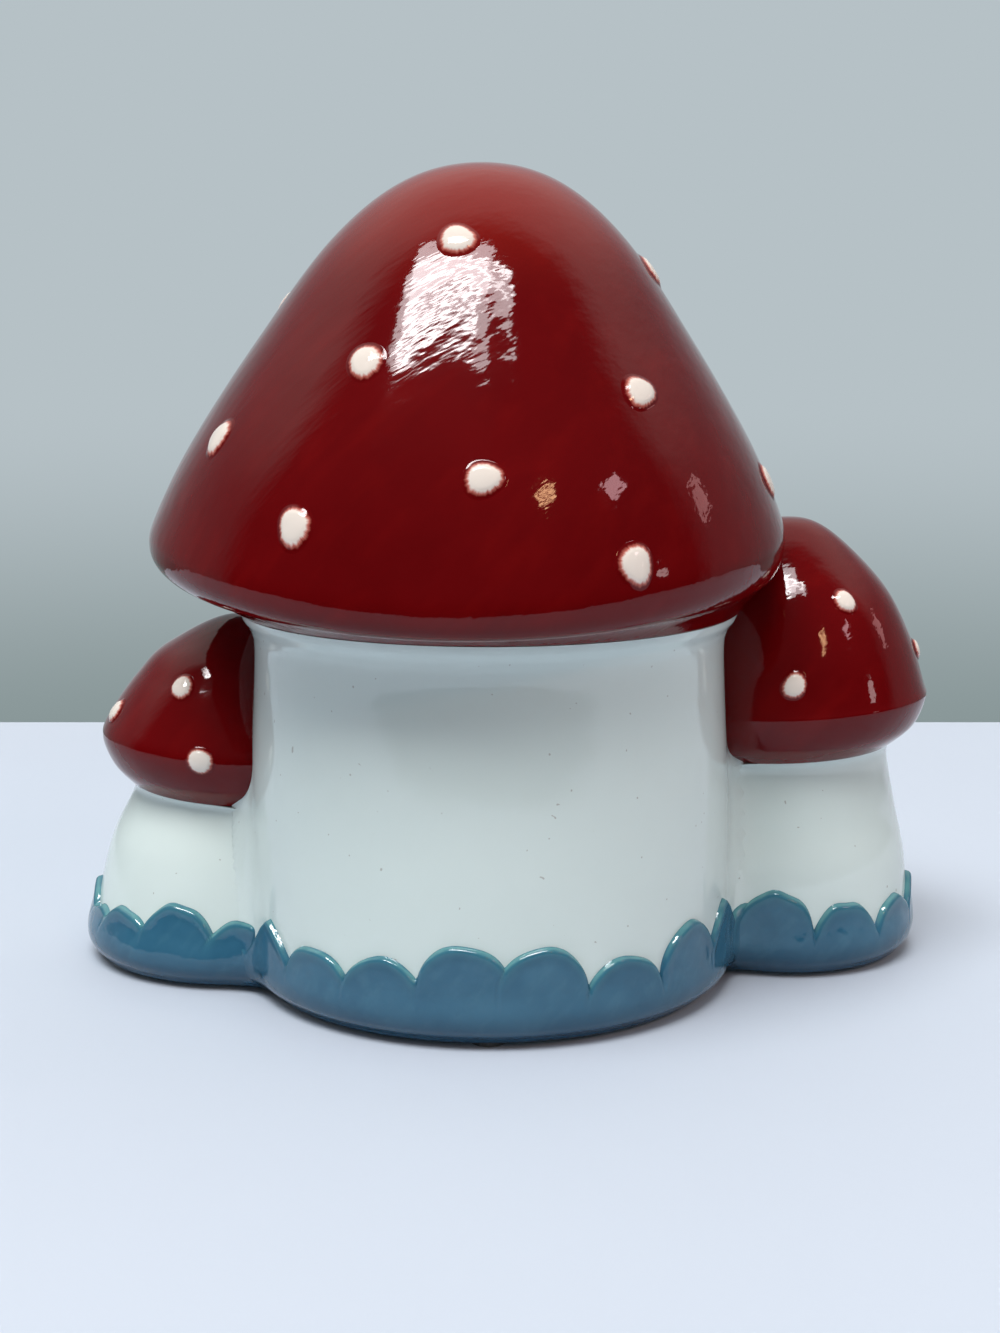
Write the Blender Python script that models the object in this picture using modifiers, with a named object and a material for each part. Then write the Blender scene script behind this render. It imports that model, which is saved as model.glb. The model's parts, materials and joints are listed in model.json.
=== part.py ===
"""Ceramic mushroom house with an LED light in its base.

A large mushroom with a door and windows stands between two small ones. The ceramic is hollow
and glazed, a border of leaves runs round the foot, and a battery light unit sits in the floor.
Units are metres, +Z is up, and the door faces -Y.
"""

from math import asin, atan2, cos, degrees, hypot, pi, radians, sin, sqrt

import bmesh
import bpy
from mathutils import Matrix, Vector

MM = 0.001
GAP = 0.3 * MM            # between pieces that touch

# Facets round the turned shapes
MAIN_STEPS = 34
SMALL_STEPS = 22
UNIT_STEPS = 22
LEAF_STEPS = 4            # along one leaf of the border

# Feet and ceramic walls
PAD_RADIUS = 3.0 * MM
PAD_THICKNESS = 1.2 * MM
PAD_INSET = 9.0 * MM      # from a small stem's axis outwards
WALL = 4.2 * MM
SMALL_WALL = 3.4 * MM
FOOT_RING_WIDTH = 6.0 * MM
FOOT_RING_HEIGHT = 4.9 * MM
FLOOR_THICKNESS = 4.0 * MM
SKIN = 1.5 * MM           # how far moulded relief stands off the stem

# Large mushroom
MAIN_X = 3.0 * MM
STEM_RADIUS = 42.9 * MM
STEM_TOP = 64.6 * MM
CAP_RADIUS = 55.5 * MM
CAP_HEIGHT = 78.3 * MM    # from its seat on the stem to the tip
CAP_RIM = 13.6 * MM       # from its seat to the widest level
CAP_SHIFT = 3.8 * MM      # the widest level stands this far to +X of the stem
TIP_SHIFT = 1.2 * MM

# Small mushrooms, placed from the axis of the large one
SHORT_OFFSET = (46.5 * MM, -15.0 * MM)
SHORT_STEM_RADIUS = 27.6 * MM
SHORT_STEM_TOP = 33.4 * MM
SHORT_CAP_RADIUS = 25.0 * MM
SHORT_CAP_HEIGHT = 29.8 * MM
SHORT_CAP_RIM = 8.0 * MM
TALL_OFFSET = (-55.0 * MM, -17.5 * MM)
TALL_STEM_RADIUS = 23.5 * MM
TALL_STEM_TOP = 38.2 * MM
TALL_CAP_RADIUS = 26.0 * MM
TALL_CAP_HEIGHT = 42.2 * MM
TALL_CAP_RIM = 8.0 * MM

# Raised dots on the caps: azimuth in degrees and height as a share of the cap's own
DOT_RADIUS = 2.9 * MM
DOT_PROUD = 0.9 * MM
MAIN_DOTS = [
    (83, 0.827), (175, 0.768), (65, 0.585), (129, 0.524), (30, 0.424), (93, 0.369),
    (169, 0.319), (60, 0.275), (119, 0.204), (352, 0.700), (265, 0.730), (222, 0.560),
    (300, 0.520), (338, 0.330), (198, 0.430), (252, 0.350), (285, 0.230), (217, 0.220),
]
SHORT_DOTS = [(64, 0.648), (21, 0.436), (81, 0.285), (325, 0.600), (280, 0.380), (335, 0.260)]
TALL_DOTS = [(116, 0.675), (86, 0.350), (173, 0.400), (250, 0.620), (215, 0.300), (280, 0.330)]

# Leaves of the border: azimuth in degrees and height of the tip as a share of a usual leaf's
LEAF_HEIGHT = 15.0 * MM
LEAF_PITCH = 18.5         # degrees of the large stem that one leaf covers
SMALL_LEAF_PITCH = 27.0
LEAF_DEPTH = 3.4 * MM     # from a tip to the valley beside it
LEAF_SWELL = 0.45         # share of the relief that a leaf loses towards its sides
BORDER_FOOT = 1.1 * MM    # the border stops this far above the foot ring
BACK_LEAVES = [
    (12, 0.97), (29.7, 1.05), (48, 0.96), (66, 1.0), (84.5, 1.21), (102, 1.16), (121.5, 0.97),
    (142, 1.15), (161, 1.17), (179, 1.0),
]
SHORT_LEAVES = [
    (7, 0.95), (45, 0.85), (71, 1.0), (97, 0.84), (125, 0.96), (153, 0.91), (-20, 0.86),
    (-47, 0.95), (-74, 0.88), (-101, 0.96), (-128, 0.87), (-155, 0.93),
]
TALL_LEAVES = [
    (30, 0.93), (57, 0.95), (81, 1.09), (112.5, 0.93), (144, 0.88), (171, 0.97), (198, 0.86),
    (225, 0.96), (252, 0.87), (279, 0.97), (306, 0.89), (333, 0.95), (3, 0.87),
]
FRONT_LEAVES = [(216, 1.0), (234, 1.09), (252, 0.97), (288, 1.03), (306, 1.11), (324, 0.99)]

# Door and windows in the front of the large stem
DOOR_WIDTH = 19.0 * MM
DOOR_SIDE = 20.0 * MM     # height of the straight side, below the arch
DOOR_FRAME = 2.6 * MM
STEP_RADIUS = 14.0 * MM
STEP_HEIGHT = 3.6 * MM
STEP_INSET = 3.0 * MM     # its centre lies this far inside the stem's outside
STEP_EDGE = 1.0 * MM
PLANK_GROOVE = 0.7 * MM
PLANK_WIDTH = 4.9 * MM
KNOB_RADIUS = 1.5 * MM
KNOB_OFFSET = 6.8 * MM    # from the middle of the door to the knob
KNOB_HEIGHT = 12.0 * MM   # above the foot of the door
WINDOW_WIDTH = 9.0 * MM
WINDOW_SIDE = 7.0 * MM
WINDOW_SILL = 33.0 * MM   # height of the bottom of the opening
WINDOW_TURN = 29.0        # degrees either side of the door
WINDOW_FRAME = 1.6 * MM
MUNTIN = 1.3 * MM
SMALL_WINDOW_RADIUS = 3.6 * MM
SMALL_WINDOW_HEIGHT = 21.0 * MM
PORT_RADIUS = 7.0 * MM    # opening from the large stem into each small one
PORT_HEIGHT = 23.0 * MM
CUT_DEPTH = 24.0 * MM     # thickness of an outline before the stem's skin trims it

# Light unit
UNIT_WALL = 1.5 * MM
FLANGE_OVERHANG = 4.0 * MM
FLANGE_THICKNESS = 2.4 * MM
SEAL_LIP = 1.3 * MM
SEAL_WEB = 1.4 * MM
UNIT_PLATE = 4.0 * MM
CELL_RADIUS = 5.8 * MM
CELL_THICKNESS = 5.4 * MM
CELL_EDGE = 0.6 * MM
CONTACT_THICKNESS = 0.4 * MM
CONTACT_RADIUS = 3.2 * MM
CONTACT_STRIP = 2.6 * MM
BAY_WALL = 1.2 * MM
DOOR_PLATE = 1.8 * MM     # thickness of the battery door
DOOR_LEDGE = 1.2 * MM
NOTCH_LENGTH = 7.0 * MM   # of the finger notch in the battery door
NOTCH_WIDTH = 2.0 * MM
NOTCH_DEPTH = 0.8 * MM
BOARD_LEDGE = 0.9 * MM    # width of the step that the board lies on
BOARD_ROOM = 0.8 * MM     # between the bay's roof and that step
BOARD_SINK = 1.7 * MM     # the board lies this far below the top of the unit
BOARD_THICKNESS = 1.2 * MM
LED_RADIUS = 2.5 * MM
LED_HEIGHT = 8.6 * MM
LED_COLLAR = 0.4 * MM     # width of the rim at its foot
LED_COLLAR_HEIGHT = 1.0 * MM
LENS_WALL = 1.4 * MM
LENS_RISE = 9.0 * MM
LENS_RIM = 2.6 * MM       # flat rim that rests on the unit
SCREW_RADIUS = 0.9 * MM
SCREW_TIP = 1.0 * MM
SCREW_HEAD_RADIUS = 1.9 * MM
SCREW_HEAD_HEIGHT = 1.2 * MM
SCREW_LENGTH = 6.0 * MM
SLOT_LENGTH = 2.2 * MM    # of the cross in the screw's head
SLOT_WIDTH = 0.5 * MM
SLOT_DEPTH = 0.45 * MM
BOSS_WALL = 1.3 * MM      # round the screw's bore
LOBE_WALL = 1.1 * MM      # round the screw's head
SWITCH_LENGTH = 9.0 * MM
SWITCH_WIDTH = 3.6 * MM
SWITCH_HEIGHT = 4.2 * MM
SWITCH_ROOM = 1.1 * MM    # between the switch and the board's step
KNOB_LENGTH = 3.0 * MM
KNOB_WIDTH = 1.6 * MM
KNOB_RECESS = 0.5 * MM    # the knob lies this far above the unit's face
KNOB_EDGE = 0.25 * MM
SWITCH_TRAVEL = 2.0 * MM
SLACK = 1.0 * MM          # cutting tools run past what they cut by this

# Levels that follow from the sizes above
FOOT_Z = PAD_THICKNESS + GAP
LEDGE_Z = FOOT_Z + FOOT_RING_HEIGHT
FLOOR_Z = LEDGE_Z + GAP
SEAL_Z = FLOOR_Z - GAP - SEAL_LIP
UNIT_Z = SEAL_Z - GAP - FLANGE_THICKNESS
PLATE_TOP = UNIT_Z + UNIT_PLATE
DOOR_TOP = UNIT_Z + DOOR_PLATE
DOOR_CONTACT_Z = DOOR_TOP + GAP
CELL_Z = DOOR_CONTACT_Z + CONTACT_THICKNESS + GAP
ROOF_CONTACT_Z = CELL_Z + CELL_THICKNESS + GAP
BAY_ROOF_Z = ROOF_CONTACT_Z + CONTACT_THICKNESS + GAP
BOARD_LEDGE_Z = BAY_ROOF_Z + BAY_WALL + BOARD_ROOM
BOARD_Z = BOARD_LEDGE_Z + GAP
LED_Z = BOARD_Z + BOARD_THICKNESS + GAP
UNIT_TOP = BOARD_Z + BOARD_THICKNESS + BOARD_SINK
LENS_Z = UNIT_TOP + GAP
CELL_RING = CELL_RADIUS * 2 / sqrt(3) + GAP
BAY_RADIUS = CELL_RING + CELL_RADIUS + 2 * GAP
DOOR_RADIUS = BAY_RADIUS + DOOR_LEDGE
SWITCH_OFFSET = BAY_RADIUS + BAY_WALL + GAP + SWITCH_WIDTH / 2
UNIT_INNER = SWITCH_OFFSET + SWITCH_WIDTH / 2 + SWITCH_ROOM + BOARD_LEDGE
UNIT_RADIUS = UNIT_INNER + UNIT_WALL
SCREW_OFFSET = UNIT_INNER - LOBE_WALL - SCREW_HEAD_RADIUS - 2 * GAP
SEAL_BORE = UNIT_RADIUS + GAP
FLOOR_HOLE = SEAL_BORE + SEAL_WEB + GAP
SEAT_Z = STEM_TOP + GAP
MAIN = (MAIN_X, 0.0)
SHORT = (MAIN_X + SHORT_OFFSET[0], SHORT_OFFSET[1])
TALL = (MAIN_X + TALL_OFFSET[0], TALL_OFFSET[1])
FRONT = -90.0             # azimuth of the door

for old in list(bpy.data.objects):
    bpy.data.objects.remove(old)
house = bpy.data.collections.new("mushroom_house")
cutters = bpy.data.collections.new("cutters")
bpy.context.scene.collection.children.link(house)
bpy.context.scene.collection.children.link(cutters)


# Helpers for objects, materials and Booleans
def finish(name, colour, roughness, metallic=0.0):
    """A Principled material of one colour."""
    made = bpy.data.materials.get(name) or bpy.data.materials.new(name)
    made.use_nodes = True
    shader = made.node_tree.nodes["Principled BSDF"]
    shader.inputs["Base Color"].default_value = (*colour, 1.0)
    shader.inputs["Roughness"].default_value = roughness
    shader.inputs["Metallic"].default_value = metallic
    made.diffuse_color = (*colour, 1.0)
    return made


def link(name, mesh, material=None, place=(0.0, 0.0, 0.0), turn=0.0):
    """Put a mesh in the scene: with a material as a part, without one as a cutter."""
    made = bpy.data.objects.new(name, mesh)
    made.location = place
    made.rotation_euler = (0.0, 0.0, radians(turn))
    if material is None:
        cutters.objects.link(made)
        made.hide_render = True
        made.display_type = "WIRE"
    else:
        house.objects.link(made)
        mesh.materials.append(material)
    return made


def mesh_from(builder, name):
    """Close a bmesh into a mesh."""
    mesh = bpy.data.meshes.new(name)
    bmesh.ops.recalc_face_normals(builder, faces=builder.faces)
    builder.to_mesh(mesh)
    builder.free()
    return mesh


def block(name, size, material=None, place=(0.0, 0.0, 0.0), turn=0.0, bevel=0.0):
    """A box by its size and centre."""
    builder = bmesh.new()
    bmesh.ops.create_cube(builder, size=1.0)
    bmesh.ops.scale(builder, vec=size, verts=builder.verts)
    made = link(name, mesh_from(builder, name), material, place, turn)
    if bevel:
        round_edges(made, bevel)
    return made


def rod(name, radius, low, high, material=None, centre=(0.0, 0.0), steps=32):
    """An upright cylinder from one level to another."""
    builder = bmesh.new()
    bmesh.ops.create_cone(builder, cap_ends=True, segments=steps, radius1=radius,
                          radius2=radius, depth=high - low)
    place = (centre[0], centre[1], (low + high) / 2)
    return link(name, mesh_from(builder, name), material, place)


def round_edges(part, width, segments=2):
    """Round the edges that are sharper than 40 degrees."""
    bevel = part.modifiers.new("rounded", "BEVEL")
    bevel.width = width
    bevel.segments = segments
    bevel.limit_method = "ANGLE"
    bevel.angle_limit = radians(40)


def combine(part, other, operation="DIFFERENCE"):
    """Cut, join or intersect a part with another object."""
    boolean = part.modifiers.new(operation.lower(), "BOOLEAN")
    boolean.operation = operation
    boolean.object = other
    boolean.solver = "EXACT"


def baked(part):
    """Apply a part's modifiers to its mesh."""
    bpy.context.view_layer.update()
    graph = bpy.context.evaluated_depsgraph_get()
    mesh = bpy.data.meshes.new_from_object(part.evaluated_get(graph))
    part.modifiers.clear()
    part.data = mesh
    return part


def turned(name, profile, material=None, centre=(0.0, 0.0), steps=48, looped=False):
    """A turned shape: the profile runs down its outer side and back up the inner one."""
    mesh = bpy.data.meshes.new(name)
    edges = [(i, i + 1) for i in range(len(profile) - 1)]
    if looped:
        edges.append((len(profile) - 1, 0))
    mesh.from_pydata([(r, 0.0, z) for r, z in profile], edges, [])
    made = link(name, mesh, material, (centre[0], centre[1], 0.0))
    screw = made.modifiers.new("turned", "SCREW")
    screw.steps = steps
    screw.render_steps = steps
    screw.use_merge_vertices = True
    screw.merge_threshold = 0.00001
    return made


def smooth(points, spans=2):
    """A curve through points of a profile, with the same number of steps in each span."""
    first = (-points[1][0], points[1][1]) if points[0][0] == 0 else points[0]
    ghosts = [first, *points, points[-1]]
    curve = []
    for a, b, c, d in zip(ghosts, ghosts[1:], ghosts[2:], ghosts[3:]):
        for step in range(spans):
            t = step / spans
            curve.append(tuple(
                0.5 * (2 * b[k] + (c[k] - a[k]) * t
                       + (2 * a[k] - 5 * b[k] + 4 * c[k] - d[k]) * t ** 2
                       + (3 * b[k] - a[k] - 3 * c[k] + d[k]) * t ** 3)
                for k in (0, 1)))
    return [*curve, points[-1]]


def offset(profile, distance):
    """Move a profile that runs downwards outwards, square to its own line."""
    moved = []
    for i, (r, z) in enumerate(profile):
        before = profile[max(i - 1, 0)]
        after = profile[min(i + 1, len(profile) - 1)]
        if r == 0:
            before = (-after[0], after[1])
        run, fall = after[0] - before[0], after[1] - before[1]
        length = hypot(run, fall)
        moved.append((max(r - fall / length * distance, 0.0), z + run / length * distance))
    return moved


def radius_at(profile, height):
    """The radius of a downward profile at a height."""
    for (r0, z0), (r1, z1) in zip(profile, profile[1:]):
        if z1 <= height <= z0:
            return r1 + (r0 - r1) * (height - z1) / (z0 - z1)
    return profile[-1][0]


# Profiles of the three mushrooms, as shares of their own sizes
def stem_profile(shares, radius, top):
    """A stem's outer line from its top down to the foot."""
    return smooth([(r * radius, FOOT_Z + z * (top - FOOT_Z)) for r, z in shares])


def cap_profile(dome, under, radius, seat, height, rim):
    """A cap's outer line from the tip over the rim to its seat."""
    points = [(r * radius, seat + rim + z * (height - rim)) for r, z in dome]
    points += [(r * radius, seat + rim - z * rim) for r, z in under]
    return smooth(points)


MAIN_STEM_LINE = stem_profile(
    [(1.007, 1.0), (0.982, 0.93), (0.972, 0.8), (0.99, 0.56), (1.0, 0.33), (0.992, 0.07),
     (0.94, 0.0)], STEM_RADIUS, STEM_TOP)
MAIN_CAP_LINE = cap_profile(
    [(0.0, 1.0), (0.234, 0.954), (0.454, 0.8), (0.676, 0.538), (0.87, 0.272), (0.98, 0.077),
     (1.0, 0.0)],
    [(0.93, 0.54), (0.789, 1.0)], CAP_RADIUS, SEAT_Z, CAP_HEIGHT, CAP_RIM)
SHORT_STEM_LINE = stem_profile(
    [(0.717, 1.0), (0.71, 0.93), (0.862, 0.645), (0.964, 0.3), (0.997, 0.1), (0.945, 0.0)],
    SHORT_STEM_RADIUS, SHORT_STEM_TOP)
SHORT_CAP_LINE = cap_profile(
    [(0.0, 1.0), (0.504, 0.76), (0.74, 0.5), (0.93, 0.19), (1.0, 0.0)],
    [(0.93, 0.6), (0.8, 1.0)], SHORT_CAP_RADIUS, SHORT_STEM_TOP + GAP,
    SHORT_CAP_HEIGHT, SHORT_CAP_RIM)
TALL_STEM_LINE = stem_profile(
    [(0.83, 1.0), (0.808, 0.93), (0.885, 0.69), (0.97, 0.45), (0.998, 0.12), (0.93, 0.0)],
    TALL_STEM_RADIUS, TALL_STEM_TOP)
TALL_CAP_LINE = cap_profile(
    [(0.0, 1.0), (0.285, 0.93), (0.66, 0.64), (0.86, 0.35), (0.98, 0.08), (1.0, 0.0)],
    [(0.92, 0.6), (0.76, 1.0)], TALL_CAP_RADIUS, TALL_STEM_TOP + GAP,
    TALL_CAP_HEIGHT, TALL_CAP_RIM)


def lean(part):
    """Shift the large cap sideways level by level: it is not thrown quite straight."""
    widest = SEAT_Z + CAP_RIM
    for vertex in part.data.vertices:
        height = vertex.co.z
        if height <= widest:
            share = min(max((height - SEAT_Z) / CAP_RIM, 0.0), 1.0)
            vertex.co.x += CAP_SHIFT * sin(share * pi / 2)
        else:
            share = (height - widest) / (CAP_HEIGHT - CAP_RIM)
            vertex.co.x += CAP_SHIFT + (TIP_SHIFT - CAP_SHIFT) * share
    return part


def lean_at(height):
    """How far the large cap is shifted at a height above its rim."""
    widest = SEAT_Z + CAP_RIM
    share = max(height - widest, 0.0) / (CAP_HEIGHT - CAP_RIM)
    return CAP_SHIFT + (TIP_SHIFT - CAP_SHIFT) * share


def add_dots(cap, line, dots, seat, height):
    """Fuse the raised dots to a cap, each lying flat on the surface."""
    for number, (azimuth, share) in enumerate(dots):
        level = seat + share * height
        slope = radius_at(line, level + MM) - radius_at(line, level - MM)
        out = Vector((1.0, 0.0, -slope / (2 * MM))).normalized()
        turn = Matrix.Rotation(radians(azimuth), 3, "Z")
        builder = bmesh.new()
        bmesh.ops.create_uvsphere(builder, u_segments=8, v_segments=4, radius=1.0)
        bmesh.ops.scale(builder, vec=(DOT_RADIUS, DOT_RADIUS, DOT_PROUD), verts=builder.verts)
        tilt = out.to_track_quat("Z", "Y").to_matrix()
        bmesh.ops.rotate(builder, cent=(0, 0, 0), matrix=turn @ tilt, verts=builder.verts)
        centre = turn @ Vector((radius_at(line, level), 0.0, level))
        bmesh.ops.translate(builder, vec=centre, verts=builder.verts)
        dot = link(f"{cap.name}_dot_{number}", mesh_from(builder, "dot"), None, cap.location)
        if cap.name == "main_cap":
            dot.location.x += lean_at(level)
        combine(cap, dot, "UNION")


def hollow_cap(name, line, wall, material, centre, seat, mouth, steps):
    """A cap as a shell that is open where it sits on its stem."""
    inner = offset(line, -wall)[::3]
    inner = [point for point in inner if point[1] > seat + wall]
    profile = [*line, (mouth, seat), (mouth, seat + wall), *inner[::-1]]
    return turned(name, profile, material, centre, steps)


red = finish("red_glaze", (0.13, 0.004, 0.006), 0.08)
white = finish("white_glaze", (0.66, 0.70, 0.69), 0.1)
teal = finish("teal_glaze", (0.045, 0.13, 0.22), 0.12)
brown = finish("brown_glaze", (0.16, 0.06, 0.025), 0.15)
sand = finish("stone_glaze", (0.42, 0.36, 0.27), 0.2)
gold = finish("yellow_glaze", (0.62, 0.38, 0.06), 0.15)
abs_white = finish("white_plastic", (0.72, 0.72, 0.70), 0.45)
diffuser = finish("frosted_plastic", (0.82, 0.80, 0.74), 0.5)
rubber = finish("grey_rubber", (0.10, 0.10, 0.10), 0.8)
foam = finish("pad_foam", (0.08, 0.08, 0.08), 0.9)
steel = finish("steel", (0.60, 0.60, 0.58), 0.3, 1.0)
board_green = finish("board_lacquer", (0.03, 0.16, 0.06), 0.4)
black = finish("black_plastic", (0.03, 0.03, 0.03), 0.5)
resin = finish("led_resin", (0.85, 0.80, 0.55), 0.15)


# The space that the large mushroom takes, grown by the gap, which trims its neighbours
envelope_line = [point for point in offset(MAIN_CAP_LINE, GAP) if point[1] > SEAT_Z]
envelope_line += [point for point in offset(MAIN_STEM_LINE, GAP) if point[1] < STEM_TOP]
envelope = lean(baked(turned("envelope", [*envelope_line, (0.0, 0.0)], None, MAIN,
                             MAIN_STEPS + 1)))


def stem_space(name, line, centre, distance, steps):
    """The solid space inside a stem's outer line, moved out by a distance."""
    grown = offset(line, distance)
    return turned(name, [(0.0, grown[0][1]), *grown, (0.0, grown[-1][1])], None, centre, steps)


# Large stem: a hollow turned wall on a foot ring, with a ledge for the floor
seat_inner = MAIN_STEM_LINE[0][0] - WALL
wall_inner = [point for point in offset(MAIN_STEM_LINE, -WALL)[::3]
              if LEDGE_Z + WALL < point[1] < STEM_TOP - WALL]
ledge_outer = radius_at(MAIN_STEM_LINE, LEDGE_Z + WALL) - WALL
foot_outer = MAIN_STEM_LINE[-1][0]
main_stem = turned("main_stem", [
    *MAIN_STEM_LINE, (foot_outer - FOOT_RING_WIDTH, FOOT_Z),
    (foot_outer - FOOT_RING_WIDTH, LEDGE_Z), (ledge_outer, LEDGE_Z), *wall_inner[::-1],
    (seat_inner, STEM_TOP)], white, MAIN, MAIN_STEPS, looped=True)
main_cap = hollow_cap("main_cap", MAIN_CAP_LINE, WALL, red, MAIN, SEAT_Z,
                      MAIN_CAP_LINE[-1][0] - WALL, MAIN_STEPS)
lean(baked(main_cap))
add_dots(main_cap, MAIN_CAP_LINE, MAIN_DOTS, SEAT_Z, CAP_HEIGHT)
base_floor = turned("base_floor", [
    (FLOOR_HOLE, FLOOR_Z + FLOOR_THICKNESS), (ledge_outer - GAP, FLOOR_Z + FLOOR_THICKNESS),
    (ledge_outer - GAP, FLOOR_Z), (FLOOR_HOLE, FLOOR_Z)], white, MAIN, MAIN_STEPS, looped=True)


def small_mushroom(name, centre, stem_line, cap_line, stem_top, cap_height, dots):
    """A small stem with a closed floor and its cap, both trimmed by the large mushroom."""
    inner = [point for point in offset(stem_line, -SMALL_WALL)[::3]
             if FOOT_Z + 2 * SMALL_WALL < point[1] < stem_top - SMALL_WALL]
    mouth = stem_line[0][0] - SMALL_WALL
    low = radius_at(stem_line, FOOT_Z + SMALL_WALL) - SMALL_WALL
    stem = turned(f"{name}_stem", [
        *stem_line, (0.0, FOOT_Z), (0.0, FOOT_Z + SMALL_WALL), (low, FOOT_Z + SMALL_WALL),
        *inner[::-1], (mouth, stem_top)], white, centre, SMALL_STEPS, looped=True)
    cap = hollow_cap(f"{name}_cap", cap_line, SMALL_WALL, red, centre, stem_top + GAP,
                     cap_line[-1][0] - SMALL_WALL, SMALL_STEPS)
    add_dots(cap, cap_line, dots, stem_top + GAP, cap_height)
    combine(stem, envelope)
    combine(cap, envelope)
    return stem, cap


short_stem, short_cap = small_mushroom("short", SHORT, SHORT_STEM_LINE, SHORT_CAP_LINE,
                                       SHORT_STEM_TOP, SHORT_CAP_HEIGHT, SHORT_DOTS)
tall_stem, tall_cap = small_mushroom("tall", TALL, TALL_STEM_LINE, TALL_CAP_LINE,
                                     TALL_STEM_TOP, TALL_CAP_HEIGHT, TALL_DOTS)


# Border of overlapping leaves round the foot of each stem
def leaf_edge(azimuth, leaves, pitch):
    """Height of the border's scalloped edge at an azimuth, and how proud its leaf stands."""
    lowest = LEAF_HEIGHT * min(share for middle, share in leaves) - 1.5 * LEAF_DEPTH
    best = (lowest, 1.0 - LEAF_SWELL)
    for middle, share in leaves:
        away = 2 * ((azimuth - middle + 180) % 360 - 180) / pitch
        height = LEAF_HEIGHT * share - LEAF_DEPTH * away ** 2
        if height > best[0]:
            best = (height, 1.0 - LEAF_SWELL * min(away ** 2, 1.0))
    return best


def leaf_border(name, line, centre, start, end, leaves, pitch, neighbours):
    """A band of leaves from one azimuth to another, cut off by what stands beside it."""
    count = max(round((end - start) / pitch * LEAF_STEPS), LEAF_STEPS)
    foot = FOOT_Z + BORDER_FOOT
    builder = bmesh.new()
    rings = []
    for step in range(count + 1):
        azimuth = start + (end - start) * step / count
        top, proud = leaf_edge(azimuth, leaves, pitch)
        skin = GAP + SKIN * proud
        section = [(GAP, foot), (GAP + 0.6 * SKIN, foot), (GAP + SKIN, foot + 0.6 * SKIN),
                   (skin, top - 0.6 * SKIN), (GAP + 0.4 * SKIN, top), (GAP, top),
                   (GAP, foot + 3 * SKIN), (GAP, foot + SKIN)]
        ring = []
        for stand_off, height in section:
            radius = radius_at(line, height) + stand_off
            angle = radians(azimuth)
            ring.append(builder.verts.new((radius * cos(angle), radius * sin(angle), height)))
        rings.append(ring)
    for one, two in zip(rings, rings[1:]):
        for i in range(len(one)):
            j = (i + 1) % len(one)
            builder.faces.new((one[i], one[j], two[j], two[i]))
    builder.faces.new(rings[0])
    builder.faces.new(rings[-1])
    band = link(name, mesh_from(builder, name), teal, (centre[0], centre[1], 0.0))
    for neighbour in neighbours:
        combine(band, neighbour)
    return band


def bearing(start, end):
    """Azimuth in degrees from one axis to another."""
    return degrees(atan2(end[1] - start[1], end[0] - start[0]))


def front_point(line, height, centre, azimuth=FRONT, stand_off=0.0):
    """A point on a stem's outside."""
    radius = radius_at(line, height) + stand_off
    return Vector((centre[0] + radius * cos(radians(azimuth)),
                   centre[1] + radius * sin(radians(azimuth)), height))


to_short = bearing(MAIN, SHORT)
to_tall = bearing(MAIN, TALL) % 360
step_half = degrees(asin((STEP_RADIUS + GAP) / STEM_RADIUS))
short_space = stem_space("short_space", SHORT_STEM_LINE, SHORT, GAP, SMALL_STEPS)
tall_space = stem_space("tall_space", TALL_STEM_LINE, TALL, GAP, SMALL_STEPS)
border_space = stem_space("border_space", MAIN_STEM_LINE, MAIN, SKIN + 2 * GAP, MAIN_STEPS)
leaf_border("grass_back", MAIN_STEM_LINE, MAIN, to_short, to_tall, BACK_LEAVES, LEAF_PITCH,
            [short_space, tall_space])
leaf_border("grass_front_tall_side", MAIN_STEM_LINE, MAIN, to_tall, 360 + FRONT - step_half,
            FRONT_LEAVES, LEAF_PITCH, [tall_space])
leaf_border("grass_front_short_side", MAIN_STEM_LINE, MAIN, 360 + FRONT + step_half,
            360 + to_short, FRONT_LEAVES, LEAF_PITCH, [short_space])
leaf_border("grass_short", SHORT_STEM_LINE, SHORT, to_short - 180, to_short + 180,
            SHORT_LEAVES, SMALL_LEAF_PITCH, [border_space])
leaf_border("grass_tall", TALL_STEM_LINE, TALL, to_tall - 180, to_tall + 180,
            TALL_LEAVES, SMALL_LEAF_PITCH, [border_space])


# Door, windows and their frames, as relief that follows the stem
def arch(width, side, steps=8):
    """Outline of an arched opening, from its sill upwards."""
    half = width / 2
    outline = [(-half, 0.0), (half, 0.0)]
    for step in range(steps + 1):
        angle = pi * step / steps
        outline.append((half * cos(angle), side + half * sin(angle)))
    return outline


def disc(radius, steps=16):
    """Outline of a circle."""
    return [(radius * cos(2 * pi * i / steps), radius * sin(2 * pi * i / steps))
            for i in range(steps)]


def panes(width, side):
    """Two lower and two upper panes of an arched window with crossed bars."""
    half, bar = width / 2, MUNTIN / 2
    cross = side * 0.62
    lower = [(bar, 0.0), (half, 0.0), (half, cross - bar), (bar, cross - bar)]
    spring = [(half * cos(pi * i / 8), side + half * sin(pi * i / 8)) for i in range(4)]
    crown = side + sqrt(half ** 2 - bar ** 2)
    upper = [(bar, cross + bar), (half, cross + bar), *spring, (bar, crown)]
    mirrored = [[(-x, z) for x, z in pane] for pane in (lower, upper)]
    return [lower, upper, *mirrored]


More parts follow.
